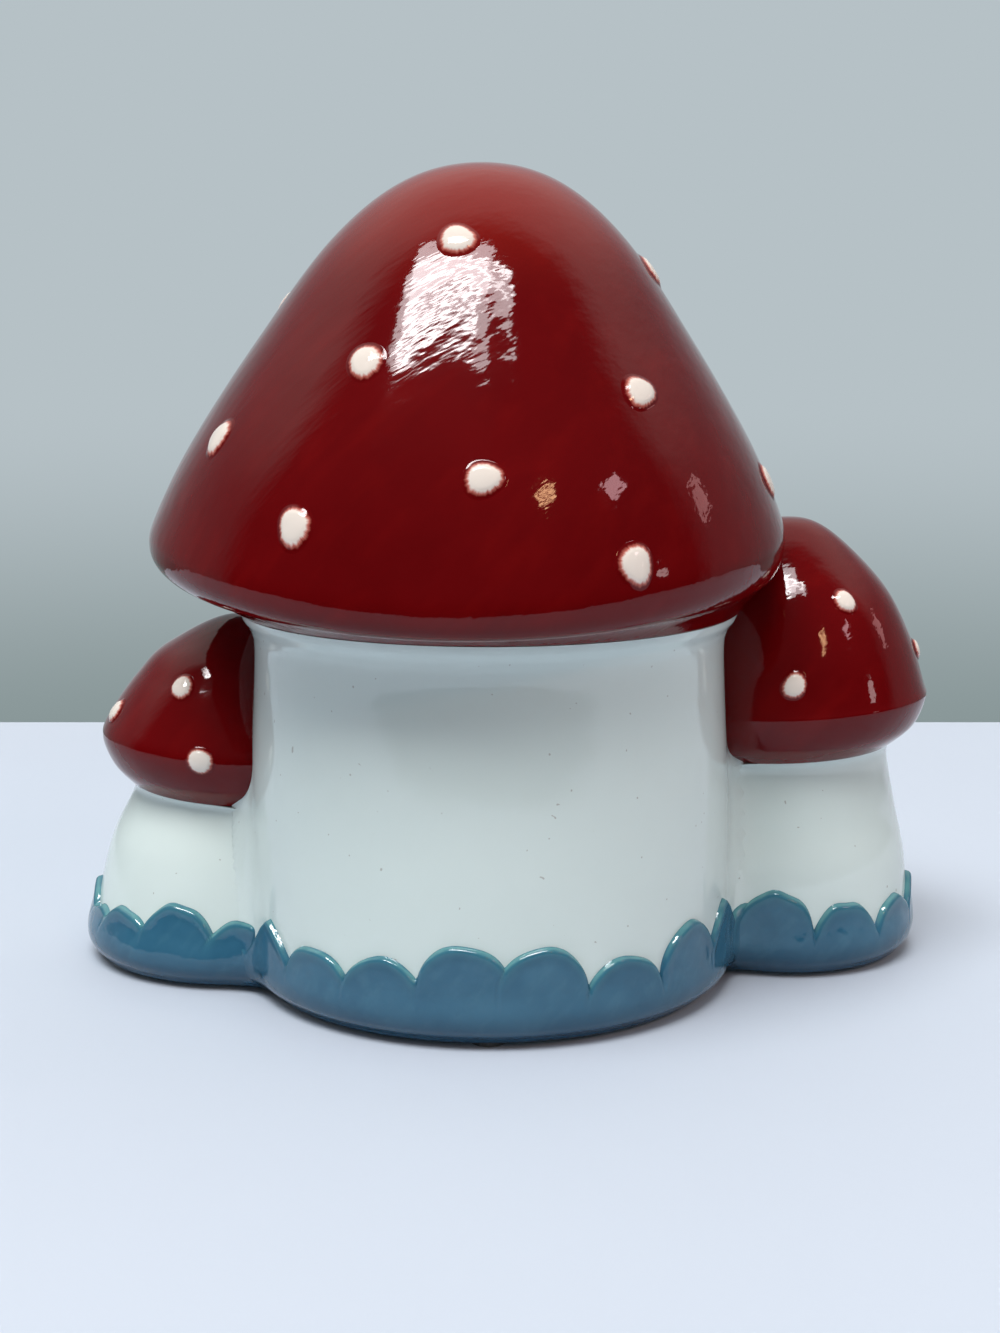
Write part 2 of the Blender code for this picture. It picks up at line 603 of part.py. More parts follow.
def plaque(name, outlines, depth, material, place, turn):
    """A flat shape standing upright, its thickness along the way that it faces."""
    curve = bpy.data.curves.new(name, "CURVE")
    curve.dimensions = "2D"
    curve.fill_mode = "BOTH"
    curve.extrude = depth / 2
    for outline in outlines:
        spline = curve.splines.new("POLY")
        spline.points.add(len(outline) - 1)
        for point, (x, z) in zip(spline.points, outline):
            point.co = (x, z, 0.0, 1.0)
        spline.use_cyclic_u = True
    flat = bpy.data.objects.new(f"{name}_outline", curve)
    cutters.objects.link(flat)
    bpy.context.view_layer.update()
    graph = bpy.context.evaluated_depsgraph_get()
    mesh = bpy.data.meshes.new_from_object(flat.evaluated_get(graph))
    bpy.data.objects.remove(flat)
    mesh.materials.clear()
    builder = bmesh.new()
    builder.from_mesh(mesh)
    bmesh.ops.remove_doubles(builder, verts=builder.verts, dist=0.000001)
    bmesh.ops.rotate(builder, cent=(0, 0, 0), matrix=Matrix.Rotation(pi / 2, 3, "X"),
                     verts=builder.verts)
    return link(name, mesh_from(builder, name), material, place, turn - FRONT)


def skin_shell(name, line, centre, inner, outer, steps):
    """A thin turned wall that follows a stem from one stand-off to another."""
    out = offset(line[:-3], outer)
    back = offset(line[:-3], inner)
    return turned(name, [*out, *back[::-1]], None, centre, steps, looped=True)


door_foot = front_point(MAIN_STEM_LINE, FOOT_Z + STEP_HEIGHT + GAP, MAIN)
door_skin = skin_shell("door_skin", MAIN_STEM_LINE, MAIN, GAP, GAP + SKIN, MAIN_STEPS)
frame_skin = skin_shell("frame_skin", MAIN_STEM_LINE, MAIN, GAP, GAP + 1.6 * SKIN, MAIN_STEPS)
front_door = plaque("front_door", [arch(DOOR_WIDTH, DOOR_SIDE)], CUT_DEPTH, brown, door_foot,
                    FRONT)
combine(front_door, door_skin, "INTERSECT")
for plank in (-1, 0, 1):
    across = plank * PLANK_WIDTH
    front = sqrt(radius_at(MAIN_STEM_LINE, FOOT_Z + DOOR_SIDE) ** 2 - across ** 2)
    combine(front_door, block(f"plank_groove_{plank}", (PLANK_GROOVE, SKIN, 4 * DOOR_SIDE), None,
                              (MAIN_X + across, -(front + GAP + SKIN), door_foot.z)))
door_frame = plaque("door_frame", [arch(DOOR_WIDTH + 2 * DOOR_FRAME, DOOR_SIDE)], CUT_DEPTH,
                    sand, door_foot, FRONT)
combine(door_frame, frame_skin, "INTERSECT")
combine(door_frame, plaque("door_hole", [arch(DOOR_WIDTH + 2 * GAP, DOOR_SIDE + GAP)],
                           2 * CUT_DEPTH, None, door_foot - Vector((0, 0, GAP)), FRONT))

knob_turn = KNOB_OFFSET / STEM_RADIUS
knob_line = [(0.0, 2.0), (0.55, 1.85), (0.95, 1.35), (1.0, 0.9), (0.8, 0.45), (0.5, 0.3),
             (0.6, 0.0), (0.0, 0.0)]
door_knob = turned("door_knob", [(r * KNOB_RADIUS, z * KNOB_RADIUS) for r, z in knob_line],
                   gold, steps=10)
door_knob.location = front_point(MAIN_STEM_LINE, door_foot.z + KNOB_HEIGHT, MAIN,
                                 FRONT + degrees(knob_turn), 2 * GAP + SKIN)
door_knob.rotation_euler = (pi / 2, 0.0, knob_turn)

door_step = rod("door_step", STEP_RADIUS, FOOT_Z, FOOT_Z + STEP_HEIGHT, sand,
                (MAIN_X, STEP_INSET - STEM_RADIUS), 28)
round_edges(door_step, STEP_EDGE, 1)
step_space = stem_space("step_space", MAIN_STEM_LINE, MAIN, GAP, MAIN_STEPS)
combine(door_step, step_space)


def arched_window(name, azimuth):
    """An arched opening through the wall, with a moulded frame and crossed bars."""
    sill = front_point(MAIN_STEM_LINE, WINDOW_SILL, MAIN, azimuth)
    opening = plaque(f"{name}_opening", [arch(WINDOW_WIDTH, WINDOW_SIDE)], CUT_DEPTH, None, sill,
                     azimuth)
    combine(main_stem, opening)
    border = [(x, z - WINDOW_FRAME) for x, z in
              arch(WINDOW_WIDTH + 2 * WINDOW_FRAME, WINDOW_SIDE + WINDOW_FRAME)]
    frame = plaque(f"{name}_frame", [border, *panes(WINDOW_WIDTH, WINDOW_SIDE)], CUT_DEPTH, brown,
                   sill, azimuth)
    combine(frame, door_skin, "INTERSECT")


def round_window(name, stem, line, centre):
    """A round opening in the front of a small stem, with a moulded ring."""
    middle = front_point(line, SMALL_WINDOW_HEIGHT, centre)
    hole = disc(SMALL_WINDOW_RADIUS)
    combine(stem, plaque(f"{name}_opening", [hole], CUT_DEPTH, None, middle, FRONT))
    ring = plaque(f"{name}_window_frame", [disc(SMALL_WINDOW_RADIUS + WINDOW_FRAME), hole],
                  CUT_DEPTH, brown, middle, FRONT)
    combine(ring, skin_shell(f"{name}_skin", line, centre, GAP, GAP + SKIN, SMALL_STEPS),
            "INTERSECT")


arched_window("window_tall_side", FRONT - WINDOW_TURN)
arched_window("window_short_side", FRONT + WINDOW_TURN)
round_window("short", short_stem, SHORT_STEM_LINE, SHORT)
round_window("tall", tall_stem, TALL_STEM_LINE, TALL)

# Ports that let the light from the large stem into the small ones
for name, heading in (("short", to_short), ("tall", to_tall)):
    middle = front_point(MAIN_STEM_LINE, PORT_HEIGHT, MAIN, heading)
    port = plaque(f"{name}_port", [disc(PORT_RADIUS)], CUT_DEPTH, None, middle, heading)
    combine(main_stem, port)

# Foam pads under the foot ring and under the small stems
ring_middle = foot_outer - FOOT_RING_WIDTH / 2
pads = {
    "foot_pad_back": (MAIN_X, ring_middle), "foot_pad_front": (MAIN_X, -ring_middle),
    "foot_pad_short": (SHORT[0] + PAD_INSET, SHORT[1]),
    "foot_pad_tall": (TALL[0] - PAD_INSET, TALL[1]),
}
for name, centre in pads.items():
    rod(name, PAD_RADIUS, 0.0, PAD_THICKNESS, foam, centre, 12)


# Light unit: a round plastic body held in the floor's hole by a rubber seal
seal_top = FLOOR_Z + FLOOR_THICKNESS + GAP
turned("seal_ring", [
    (SEAL_BORE, seal_top + SEAL_LIP), (FLOOR_HOLE + 0.8 * SEAL_LIP, seal_top + SEAL_LIP),
    (FLOOR_HOLE + 1.2 * SEAL_LIP, seal_top), (FLOOR_HOLE - GAP, seal_top),
    (FLOOR_HOLE - GAP, FLOOR_Z - GAP), (FLOOR_HOLE + 1.5 * SEAL_LIP, FLOOR_Z - GAP),
    (FLOOR_HOLE + 1.5 * SEAL_LIP, SEAL_Z), (SEAL_BORE, SEAL_Z)],
    rubber, MAIN, UNIT_STEPS, looped=True)

flange_radius = UNIT_RADIUS + FLANGE_OVERHANG
flange_edge = FLANGE_THICKNESS / 4
bay_outer = BAY_RADIUS + BAY_WALL
plate_inner = UNIT_INNER - BOARD_LEDGE
led_housing = turned("led_housing", [
    (UNIT_RADIUS, UNIT_TOP), (UNIT_RADIUS, UNIT_Z + FLANGE_THICKNESS),
    (flange_radius, UNIT_Z + FLANGE_THICKNESS), (flange_radius, UNIT_Z + flange_edge),
    (flange_radius - flange_edge, UNIT_Z), (0.0, UNIT_Z), (0.0, BAY_ROOF_Z + BAY_WALL),
    (bay_outer, BAY_ROOF_Z + BAY_WALL), (bay_outer, PLATE_TOP), (plate_inner, PLATE_TOP),
    (plate_inner, BOARD_LEDGE_Z), (UNIT_INNER, BOARD_LEDGE_Z), (UNIT_INNER, UNIT_TOP)],
    abs_white, MAIN, UNIT_STEPS, looped=True)
screw_place = (MAIN_X, SCREW_OFFSET)
screw_end = DOOR_TOP + SCREW_LENGTH
lobe_radius = SCREW_HEAD_RADIUS + LOBE_WALL
unit_low = UNIT_Z - SLACK
combine(led_housing, rod("screw_boss", SCREW_RADIUS + GAP + BOSS_WALL, PLATE_TOP - SLACK,
                         screw_end + SLACK, None, screw_place, 20), "UNION")
combine(led_housing, rod("bay", BAY_RADIUS, 0.0, BAY_ROOF_Z, None, MAIN, UNIT_STEPS))
recess = rod("door_recess", DOOR_RADIUS + GAP, unit_low, DOOR_TOP + GAP, None, MAIN, UNIT_STEPS)
combine(recess, rod("lobe_recess", lobe_radius + GAP, unit_low, DOOR_TOP + GAP, None,
                    screw_place, 16), "UNION")
combine(led_housing, recess)
combine(led_housing, rod("screw_bore", SCREW_RADIUS + GAP, 0.0, screw_end, None, screw_place, 12))
slot_x = MAIN_X + SWITCH_TRAVEL / 2
combine(led_housing, block("switch_slot", (KNOB_LENGTH + SWITCH_TRAVEL + 2 * GAP,
                                           KNOB_WIDTH + 2 * GAP, 2 * UNIT_PLATE), None,
                           (slot_x, -SWITCH_OFFSET, UNIT_Z)))

# Battery door with its screw, which stays in it
head_top = UNIT_Z + 0.75 * SCREW_HEAD_HEIGHT + GAP
head_low = head_top - SCREW_HEAD_HEIGHT
battery_door = rod("battery_door", DOOR_RADIUS, UNIT_Z, DOOR_TOP, abs_white, MAIN, UNIT_STEPS)
combine(battery_door, rod("door_lobe", lobe_radius, UNIT_Z, DOOR_TOP, None, screw_place, 16),
        "UNION")
combine(battery_door, rod("head_recess", SCREW_HEAD_RADIUS + GAP, unit_low, head_top + GAP, None,
                          screw_place, 16))
combine(battery_door, rod("door_bore", SCREW_RADIUS + GAP, unit_low, DOOR_TOP + SLACK, None,
                          screw_place, 12))
combine(battery_door, block("finger_notch", (NOTCH_LENGTH, NOTCH_WIDTH, 2 * NOTCH_DEPTH), None,
                            (MAIN_X, NOTCH_WIDTH - DOOR_RADIUS, UNIT_Z)))
door_screw = turned("door_screw", [
    (0.0, screw_end - SCREW_TIP), (0.6 * SCREW_RADIUS, screw_end - SCREW_TIP),
    (SCREW_RADIUS, screw_end - 2 * SCREW_TIP), (SCREW_RADIUS, head_top),
    (SCREW_HEAD_RADIUS, head_top), (SCREW_HEAD_RADIUS, head_low + 0.4 * SCREW_HEAD_HEIGHT),
    (0.7 * SCREW_HEAD_RADIUS, head_low), (0.0, head_low)], steel, screw_place, 12)
for turn in (0, 90):
    combine(door_screw, block(f"cross_slot_{turn}", (SLOT_LENGTH, SLOT_WIDTH, 2 * SLOT_DEPTH),
                              None, (*screw_place, head_low), turn))

# Three button cells in a ring, between contacts on the roof of the bay and on the door
cell_places = []
for number, azimuth in enumerate((90, 210, 330), 1):
    centre = (MAIN_X + CELL_RING * cos(radians(azimuth)), CELL_RING * sin(radians(azimuth)))
    cell_places.append(centre)
    cell = rod(f"button_cell_{number}", CELL_RADIUS, CELL_Z, CELL_Z + CELL_THICKNESS, steel,
               centre, 16)
    round_edges(cell, CELL_EDGE, 1)


def contact(name, low, first, second=None):
    """A sheet-metal disc over one cell, or two of them joined by a strip."""
    high = low + CONTACT_THICKNESS
    strip = rod(name, CONTACT_RADIUS, low, high, steel, first, 12)
    if second:
        middle = ((first[0] + second[0]) / 2, (first[1] + second[1]) / 2, (low + high) / 2)
        length = hypot(second[0] - first[0], second[1] - first[1])
        combine(strip, block(f"{name}_bar", (length, CONTACT_STRIP, CONTACT_THICKNESS), None,
                             middle, bearing(first, second)), "UNION")
        combine(strip, rod(f"{name}_end", CONTACT_RADIUS, low, high, None, second, 12), "UNION")


contact("contact_bridge", ROOF_CONTACT_Z, cell_places[0], cell_places[1])
contact("contact_terminal", ROOF_CONTACT_Z, cell_places[2])
contact("door_contact", DOOR_CONTACT_Z, cell_places[1], cell_places[2])

# Circuit board with the LED on top and the slide switch below
board_radius = UNIT_INNER - GAP
turned("circuit_board", [
    (0.0, BOARD_Z + BOARD_THICKNESS), (board_radius, BOARD_Z + BOARD_THICKNESS),
    (board_radius, BOARD_Z), (0.0, BOARD_Z)], board_green, MAIN, UNIT_STEPS)
led_crown = LED_Z + LED_HEIGHT - LED_RADIUS
led_dome = [(LED_RADIUS * sin(pi * i / 8), led_crown + LED_RADIUS * cos(pi * i / 8))
            for i in range(5)]
collar_top = LED_Z + LED_COLLAR_HEIGHT
turned("led_bulb", [*led_dome, (LED_RADIUS, collar_top), (LED_RADIUS + LED_COLLAR, collar_top),
                    (LED_RADIUS + LED_COLLAR, LED_Z), (0.0, LED_Z)], resin, MAIN, 12)
switch_low = PLATE_TOP + GAP
pocket_top = switch_low + SWITCH_HEIGHT / 2 - SLACK
switch_body = block("switch_body", (SWITCH_LENGTH, SWITCH_WIDTH, SWITCH_HEIGHT), steel,
                    (MAIN_X, -SWITCH_OFFSET, switch_low + SWITCH_HEIGHT / 2))
combine(switch_body, block("switch_pocket", (KNOB_LENGTH + SWITCH_TRAVEL, KNOB_WIDTH + GAP,
                                             SWITCH_HEIGHT), None,
                           (slot_x, -SWITCH_OFFSET, pocket_top - SWITCH_HEIGHT / 2)))
knob_low = UNIT_Z + KNOB_RECESS
knob_high = pocket_top - GAP
block("switch_knob", (KNOB_LENGTH - 2 * GAP, KNOB_WIDTH - GAP, knob_high - knob_low), black,
      (MAIN_X, -SWITCH_OFFSET, (knob_low + knob_high) / 2), bevel=KNOB_EDGE)

# Frosted dome over the LED
dome_radius = UNIT_RADIUS - LENS_RIM
arc = [pi / 2 * i / 4 for i in range(5)]
lens_dome = [(dome_radius * sin(a), LENS_Z + LENS_WALL + LENS_RISE * cos(a)) for a in arc]
lens_inner = [(r - LENS_WALL * sin(a), z - LENS_WALL * cos(a)) for a, (r, z) in zip(arc, lens_dome)]
turned("led_lens", [*lens_dome, (UNIT_RADIUS, LENS_Z + LENS_WALL), (UNIT_RADIUS, LENS_Z),
                    (dome_radius - LENS_WALL, LENS_Z), *lens_inner[:-1][::-1]],
       diffuser, MAIN, UNIT_STEPS)

# Smooth shading on the round pieces
bpy.context.view_layer.update()
for part in house.objects:
    part.data.shade_smooth()
    part.data.set_sharp_from_angle(angle=radians(35))
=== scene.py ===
"""A glazed mushroom house with a battery light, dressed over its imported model."""
import json
from math import acos, atan2, cos, degrees, hypot, pi, radians, sin

import bpy
import numpy as np
from mathutils import Euler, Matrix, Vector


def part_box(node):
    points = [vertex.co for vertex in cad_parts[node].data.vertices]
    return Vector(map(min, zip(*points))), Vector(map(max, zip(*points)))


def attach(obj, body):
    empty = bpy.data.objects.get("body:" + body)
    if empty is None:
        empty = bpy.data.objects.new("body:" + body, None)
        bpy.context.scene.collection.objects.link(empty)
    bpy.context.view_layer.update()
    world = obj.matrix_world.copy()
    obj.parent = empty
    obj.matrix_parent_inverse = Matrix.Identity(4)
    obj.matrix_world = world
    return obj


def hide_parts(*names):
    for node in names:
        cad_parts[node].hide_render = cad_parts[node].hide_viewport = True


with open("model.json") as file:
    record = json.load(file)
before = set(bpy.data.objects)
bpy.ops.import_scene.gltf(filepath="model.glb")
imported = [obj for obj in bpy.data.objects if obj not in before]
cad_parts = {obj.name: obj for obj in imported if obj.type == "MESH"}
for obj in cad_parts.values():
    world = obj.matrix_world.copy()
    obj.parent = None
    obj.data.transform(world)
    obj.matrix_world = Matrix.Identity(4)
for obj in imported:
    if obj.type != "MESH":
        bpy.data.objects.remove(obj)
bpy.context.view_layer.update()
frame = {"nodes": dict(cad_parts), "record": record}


# Large stem. A slip-cast earthenware tube with a flared lip, white under a clear gloss glaze.
# The small stems are luted to it, and glaze fills the joins with soft fillets. Two arched
# windows are cut through its front before firing.
MM = 0.001
FOOT = 1.5 * MM
WALL = 4.2 * MM
STEM_AXIS = (3.0 * MM, 0.0)
STEM_TOP = 66.9 * MM
SHORT_AXIS = (49.5 * MM, -15.0 * MM)
TALL_AXIS = (-52.0 * MM, -17.5 * MM)
FILLET = 8.0 * MM
MOST_SWELL = FILLET / 4 + 1.2 * MM    # no fillet stands farther off its stem
HALVINGS = 11                         # each halves the doubt about a fillet's surface
MERGE = 0.001 * MM
LARGE_STEPS = 320


def flowing(points, spans=12):
    """A smooth line through points, such as a profile's radii and heights from the top down."""
    points = np.array(points)
    first = points[1] * (-1, 1) if points[0, 0] == 0 else points[0]
    ghosts = np.vstack([first, points, points[-1]])
    t = np.linspace(0, 1, spans, endpoint=False)[:, None]
    rows = [0.5 * (2 * b + (c - a) * t + (2 * a - 5 * b + 4 * c - d) * t ** 2
                   + (3 * b - a - 3 * c + d) * t ** 3)
            for a, b, c, d in zip(ghosts, ghosts[1:], ghosts[2:], ghosts[3:])]
    return np.vstack([*rows, points[-1:]])


def radius_at(line, height):
    """Radius of a profile at heights."""
    return np.interp(height, line[::-1, 1], line[::-1, 0])


def clearance(points, axis, line):
    """Distance of points from a turned body, negative inside it."""
    rho = np.hypot(points[:, 0] - axis[0], points[:, 1] - axis[1])
    flat = np.stack([rho, points[:, 2]], axis=1)
    nearest = np.full(len(points), np.inf)
    for a, b in zip(line[::4], line[4::4]):
        run = b - a
        share = np.clip((flat - a) @ run / (run @ run), 0, 1)
        nearest = np.minimum(nearest, np.linalg.norm(flat - a - share[:, None] * run, axis=1))
    inside = (rho < radius_at(line, flat[:, 1])) & (flat[:, 1] < line[0, 1])
    return np.where(inside, -nearest, nearest)


def filleted(azimuth, height, axis, line, neighbours):
    """Radius of a stem at azimuths and heights, swollen where it meets its neighbours."""
    base = radius_at(line, height)
    low = np.zeros_like(base)
    high = np.full_like(base, MOST_SWELL)
    for _ in range(HALVINGS):
        swell = (low + high) / 2
        points = np.stack([axis[0] + (base + swell) * np.cos(azimuth),
                           axis[1] + (base + swell) * np.sin(azimuth), height], axis=1)
        away = np.min([clearance(points, *other) for other in neighbours], axis=0)
        near = np.clip(FILLET - np.abs(swell - away), 0, None) ** 2 / (4 * FILLET)
        outside = np.minimum(swell, away) > near
        low, high = np.where(outside, low, swell), np.where(outside, swell, high)
    return base + (low + high) / 2


def corners(piece):
    """A mesh's corners as an array."""
    flat = np.empty(len(piece.data.vertices) * 3)
    piece.data.vertices.foreach_get("co", flat)
    return flat.reshape(-1, 3)


def move_corners(piece, places):
    """Put a mesh's corners where an array says."""
    piece.data.vertices.foreach_set("co", np.ascontiguousarray(places).ravel())
    piece.data.update()


def pick(*pieces):
    """Select pieces, with the last one active."""
    bpy.ops.object.select_all(action="DESELECT")
    for piece in pieces:
        piece.select_set(True)
    bpy.context.view_layer.objects.active = pieces[-1]


def smooth_edges(piece, angle=35):
    """Shade a piece smooth, apart from its sharp edges."""
    pick(piece)
    bpy.ops.object.shade_smooth_by_angle(angle=radians(angle))


def turned(name, line, axis, steps):
    """Spin a profile round an upright axis."""
    bpy.ops.object.select_all(action="DESELECT")
    bpy.ops.mesh.primitive_plane_add(size=MM)
    piece = bpy.context.object
    piece.name = piece.data.name = name
    bpy.ops.object.mode_set(mode="EDIT")
    bpy.ops.mesh.select_all(action="SELECT")
    bpy.ops.mesh.merge(type="CENTER")
    bpy.ops.transform.translate(value=(axis[0] + line[0][0], axis[1], line[0][1]))
    for (r0, z0), (r1, z1) in zip(line, line[1:]):
        bpy.ops.mesh.extrude_vertices_move(
            TRANSFORM_OT_translate={"value": (r1 - r0, 0.0, z1 - z0)})
    bpy.ops.mesh.select_all(action="SELECT")
    bpy.ops.mesh.spin(steps=steps, angle=2 * pi, center=(*axis, 0.0), axis=(0, 0, 1))
    bpy.ops.mesh.select_all(action="SELECT")
    bpy.ops.mesh.remove_doubles(threshold=MERGE)
    bpy.ops.mesh.normals_make_consistent(inside=False)
    bpy.ops.object.mode_set(mode="OBJECT")
    return piece


def carve(piece, tool):
    """Cut a piece with a tool, which is used up."""
    pick(piece)
    cut = piece.modifiers.new("cut", "BOOLEAN")
    cut.operation = "DIFFERENCE"
    cut.object = tool
    cut.solver = "EXACT"
    bpy.ops.object.modifier_apply(modifier=cut.name)
    bpy.data.objects.remove(tool)


STEM_LINE = flowing([(43.8, 66.9), (43.3, 65.6), (42.0, 63.6), (41.4, 60.4), (41.7, 52.0),
                     (42.5, 36.8), (42.9, 22.3), (42.6, 5.9), (40.3, 1.5)]) * MM
SHORT_LINE = flowing([(19.8, 33.4), (19.6, 31.2), (23.8, 22.1), (26.6, 11.1), (27.5, 4.7),
                      (26.1, 1.5)]) * MM
TALL_LINE = flowing([(19.5, 38.2), (19.0, 35.6), (20.8, 26.8), (22.8, 18.0), (23.5, 5.9),
                     (21.9, 1.5)]) * MM
NEIGHBOURS = [(SHORT_AXIS, SHORT_LINE), (TALL_AXIS, TALL_LINE)]
SOLE_WIDTH = 6.0 * MM
SOLE_TOP = 6.4 * MM
sole = STEM_LINE[-1, 0] - SOLE_WIDTH
mouth = STEM_LINE[0, 0] - WALL
stem_inside = [(sole, FOOT), (sole, SOLE_TOP), (38.3 * MM, SOLE_TOP), (38.6 * MM, 12 * MM),
               (38.6 * MM, 26 * MM), (37.6 * MM, 46 * MM), (37.6 * MM, 58 * MM),
               (mouth, STEM_TOP)]
main_stem = turned("ceramic_stem", [*STEM_LINE, *stem_inside, STEM_LINE[0]], STEM_AXIS,
                   LARGE_STEPS)


def swell_joins(piece, axis, line, wall, neighbours):
    """Fill the joins on the outside of a stem with glaze fillets."""
    places = corners(piece)
    run = places[:, :2] - axis
    rho = np.hypot(*run.T)
    outer = rho > radius_at(line, places[:, 2]) - wall / 2
    azimuth = np.arctan2(run[:, 1], run[:, 0])[outer]
    radius = filleted(azimuth, places[outer, 2], axis, line, neighbours)
    places[outer, 0] = axis[0] + radius * np.cos(azimuth)
    places[outer, 1] = axis[1] + radius * np.sin(azimuth)
    move_corners(piece, places)


swell_joins(main_stem, STEM_AXIS, STEM_LINE, WALL, NEIGHBOURS)
WINDOW_WIDTH = 9.0 * MM
WINDOW_SIDE = 7.0 * MM
SILL = 33.0 * MM
CUT_START = 56.0 * MM     # a window's cutter starts outside the stem
CUT_DEPTH = 30.0 * MM     # and stops in its hollow
WINDOW_TURNS = {"window_tall_side_frame": -119, "window_short_side_frame": -61}


def arch_line(half, side, sill, steps=16):
    """Outline of an arch as (across, up) points, from its left foot over the crown."""
    crown = [(-half * cos(pi * i / steps), sill + side + half * sin(pi * i / steps))
             for i in range(steps + 1)]
    return [(-half, sill), *crown, (half, sill)]


def arch_tool(half, side, sill, azimuth):
    """A cutter with an arched section, pointing out of the stem."""
    outline = arch_line(half, side, sill)
    bpy.ops.object.select_all(action="DESELECT")
    bpy.ops.mesh.primitive_circle_add(vertices=len(outline), fill_type="NGON")
    tool = bpy.context.object
    move_corners(tool, np.array([(x, -CUT_START, z) for x, z in outline]))
    bpy.ops.object.mode_set(mode="EDIT")
    bpy.ops.mesh.select_all(action="SELECT")
    bpy.ops.mesh.extrude_region_move(TRANSFORM_OT_translate={"value": (0, CUT_DEPTH, 0)})
    bpy.ops.mesh.select_all(action="SELECT")
    bpy.ops.mesh.normals_make_consistent(inside=False)
    bpy.ops.object.mode_set(mode="OBJECT")
    turn = radians(azimuth + 90)
    places = corners(tool)
    x = places[:, 0] * cos(turn) - places[:, 1] * sin(turn) + STEM_AXIS[0]
    y = places[:, 0] * sin(turn) + places[:, 1] * cos(turn) + STEM_AXIS[1]
    move_corners(tool, np.stack([x, y, places[:, 2]], axis=1))
    return tool


for azimuth in WINDOW_TURNS.values():
    carve(main_stem, arch_tool(WINDOW_WIDTH / 2, WINDOW_SIDE, SILL, azimuth))
smooth_edges(main_stem)


class Wire:
    """An output of a node. Arithmetic on it adds Math nodes."""

    def __init__(self, recipe, socket):
        self.recipe, self.socket = recipe, socket

    def maths(self, operation, *values):
        return self.recipe.add("ShaderNodeMath", {"operation": operation},
                               dict(enumerate(values)))

    def __add__(self, other):
        return self.maths("ADD", self, other)

    def __sub__(self, other):
        return self.maths("SUBTRACT", self, other)

    def __mul__(self, other):
        return self.maths("MULTIPLY", self, other)

    def __rsub__(self, other):
        return self.maths("SUBTRACT", other, self)

    __radd__, __rmul__ = __add__, __mul__


class Recipe:
    """A material, or the light of a room, that is put together node by node round one shader."""

    def __init__(self, name, room=False, **fixed):
        self.made = (bpy.data.worlds if room else bpy.data.materials).new(name)
        self.made.use_nodes = True
        self.tree = self.made.node_tree
        self.shader = self.tree.nodes["Background" if room else "Principled BSDF"]
        for socket, value in fixed.items():
            self.shader.inputs[socket.replace("_", " ")].default_value = value
        self.place = self.add("ShaderNodeTexCoord", {}, {}, "Generated" if room else "Object")

    def split(self):
        """The three parts of the place."""
        return [self.add("ShaderNodeSeparateXYZ", {}, {0: self.place}, axis)
                for axis in range(3)]

    def add(self, kind, settings, values, output=0):
        """Add a node with its settings, then the values or links of its sockets."""
        node = self.tree.nodes.new(kind)
        for setting, value in settings.items():
            setattr(node, setting, value)
        for socket, value in values.items():
            if isinstance(value, Wire):
                self.tree.links.new(value.socket, node.inputs[socket])
            else:
                node.inputs[socket].default_value = value
        return Wire(self, node.outputs[output])

    def feed(self, socket, wire):
        """Link a wire to a socket of the shader."""
        self.tree.links.new(wire.socket, self.shader.inputs[socket])
        return self

    def noise(self, size, detail=2.0, place=None):
        """Noise whose features are about as large as a size in metres."""
        return self.add("ShaderNodeTexNoise", {}, {
            "Vector": place or self.place, "Scale": 1 / size, "Detail": detail})

    def stretched(self, sizes, turn=(0.0, 0.0, 0.0)):
        """Object coordinates for features of three sizes in mm, along turned axes."""
        return self.add("ShaderNodeMapping", {"vector_type": "TEXTURE"}, {
            "Vector": self.place, "Rotation": turn, "Scale": [size * MM for size in sizes]})

    def between(self, value, low, high):
        """0 below low, 1 above high, and smooth between them."""
        return self.add("ShaderNodeMapRange", {"interpolation_type": "SMOOTHSTEP"}, {
            "Value": value, "From Min": low, "From Max": high})

    def mix(self, share, first, second):
        """Two colours mixed by a share of the second."""
        return self.add("ShaderNodeMix", {"data_type": "RGBA"},
                        {0: share, 6: first, 7: second}, 2)

    def bump(self, height, distance):
        """Feed a height map to the shader's normal."""
        return self.feed("Normal", self.add("ShaderNodeBump", {}, {
            "Height": height, "Distance": distance, "Strength": 1.0}))


def colour(red, green, blue):
    """A linear colour from the usual 0 to 255 numbers."""
    parts = (red / 255, green / 255, blue / 255)
    return (*(c / 12.92 if c <= 0.04045 else ((c + 0.055) / 1.055) ** 2.4 for c in parts), 1.0)


def white_glaze():
    """Clear glaze over a white body, with the odd dark speck and a slight wave."""
    glaze = Recipe("white_glaze", Roughness=0.06, IOR=1.5)
    tone = glaze.mix(glaze.noise(18 * MM, 3.0), colour(206, 220, 217), colour(213, 226, 223))
    fleck = glaze.between(glaze.noise(0.9 * MM, 0.0), 0.855, 0.87)
    glaze.feed("Base Color", glaze.mix(fleck * 0.5, tone, colour(128, 120, 108)))
    wave = glaze.noise(9 * MM, 1.0) + glaze.noise(1.8 * MM, 2.0) * 0.05
    return glaze.bump(wave, 0.12 * MM).made


def dress(piece, material, slot, *nodes, body="root"):
    """Give a piece its material, its body and the nodes it stands for. The slot is not used."""
    piece.data.materials.clear()
    piece.data.materials.append(material)
    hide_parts(*nodes)
    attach(piece, body)


WHITE = white_glaze()
dress(main_stem, WHITE, "white_glaze", "main_stem")


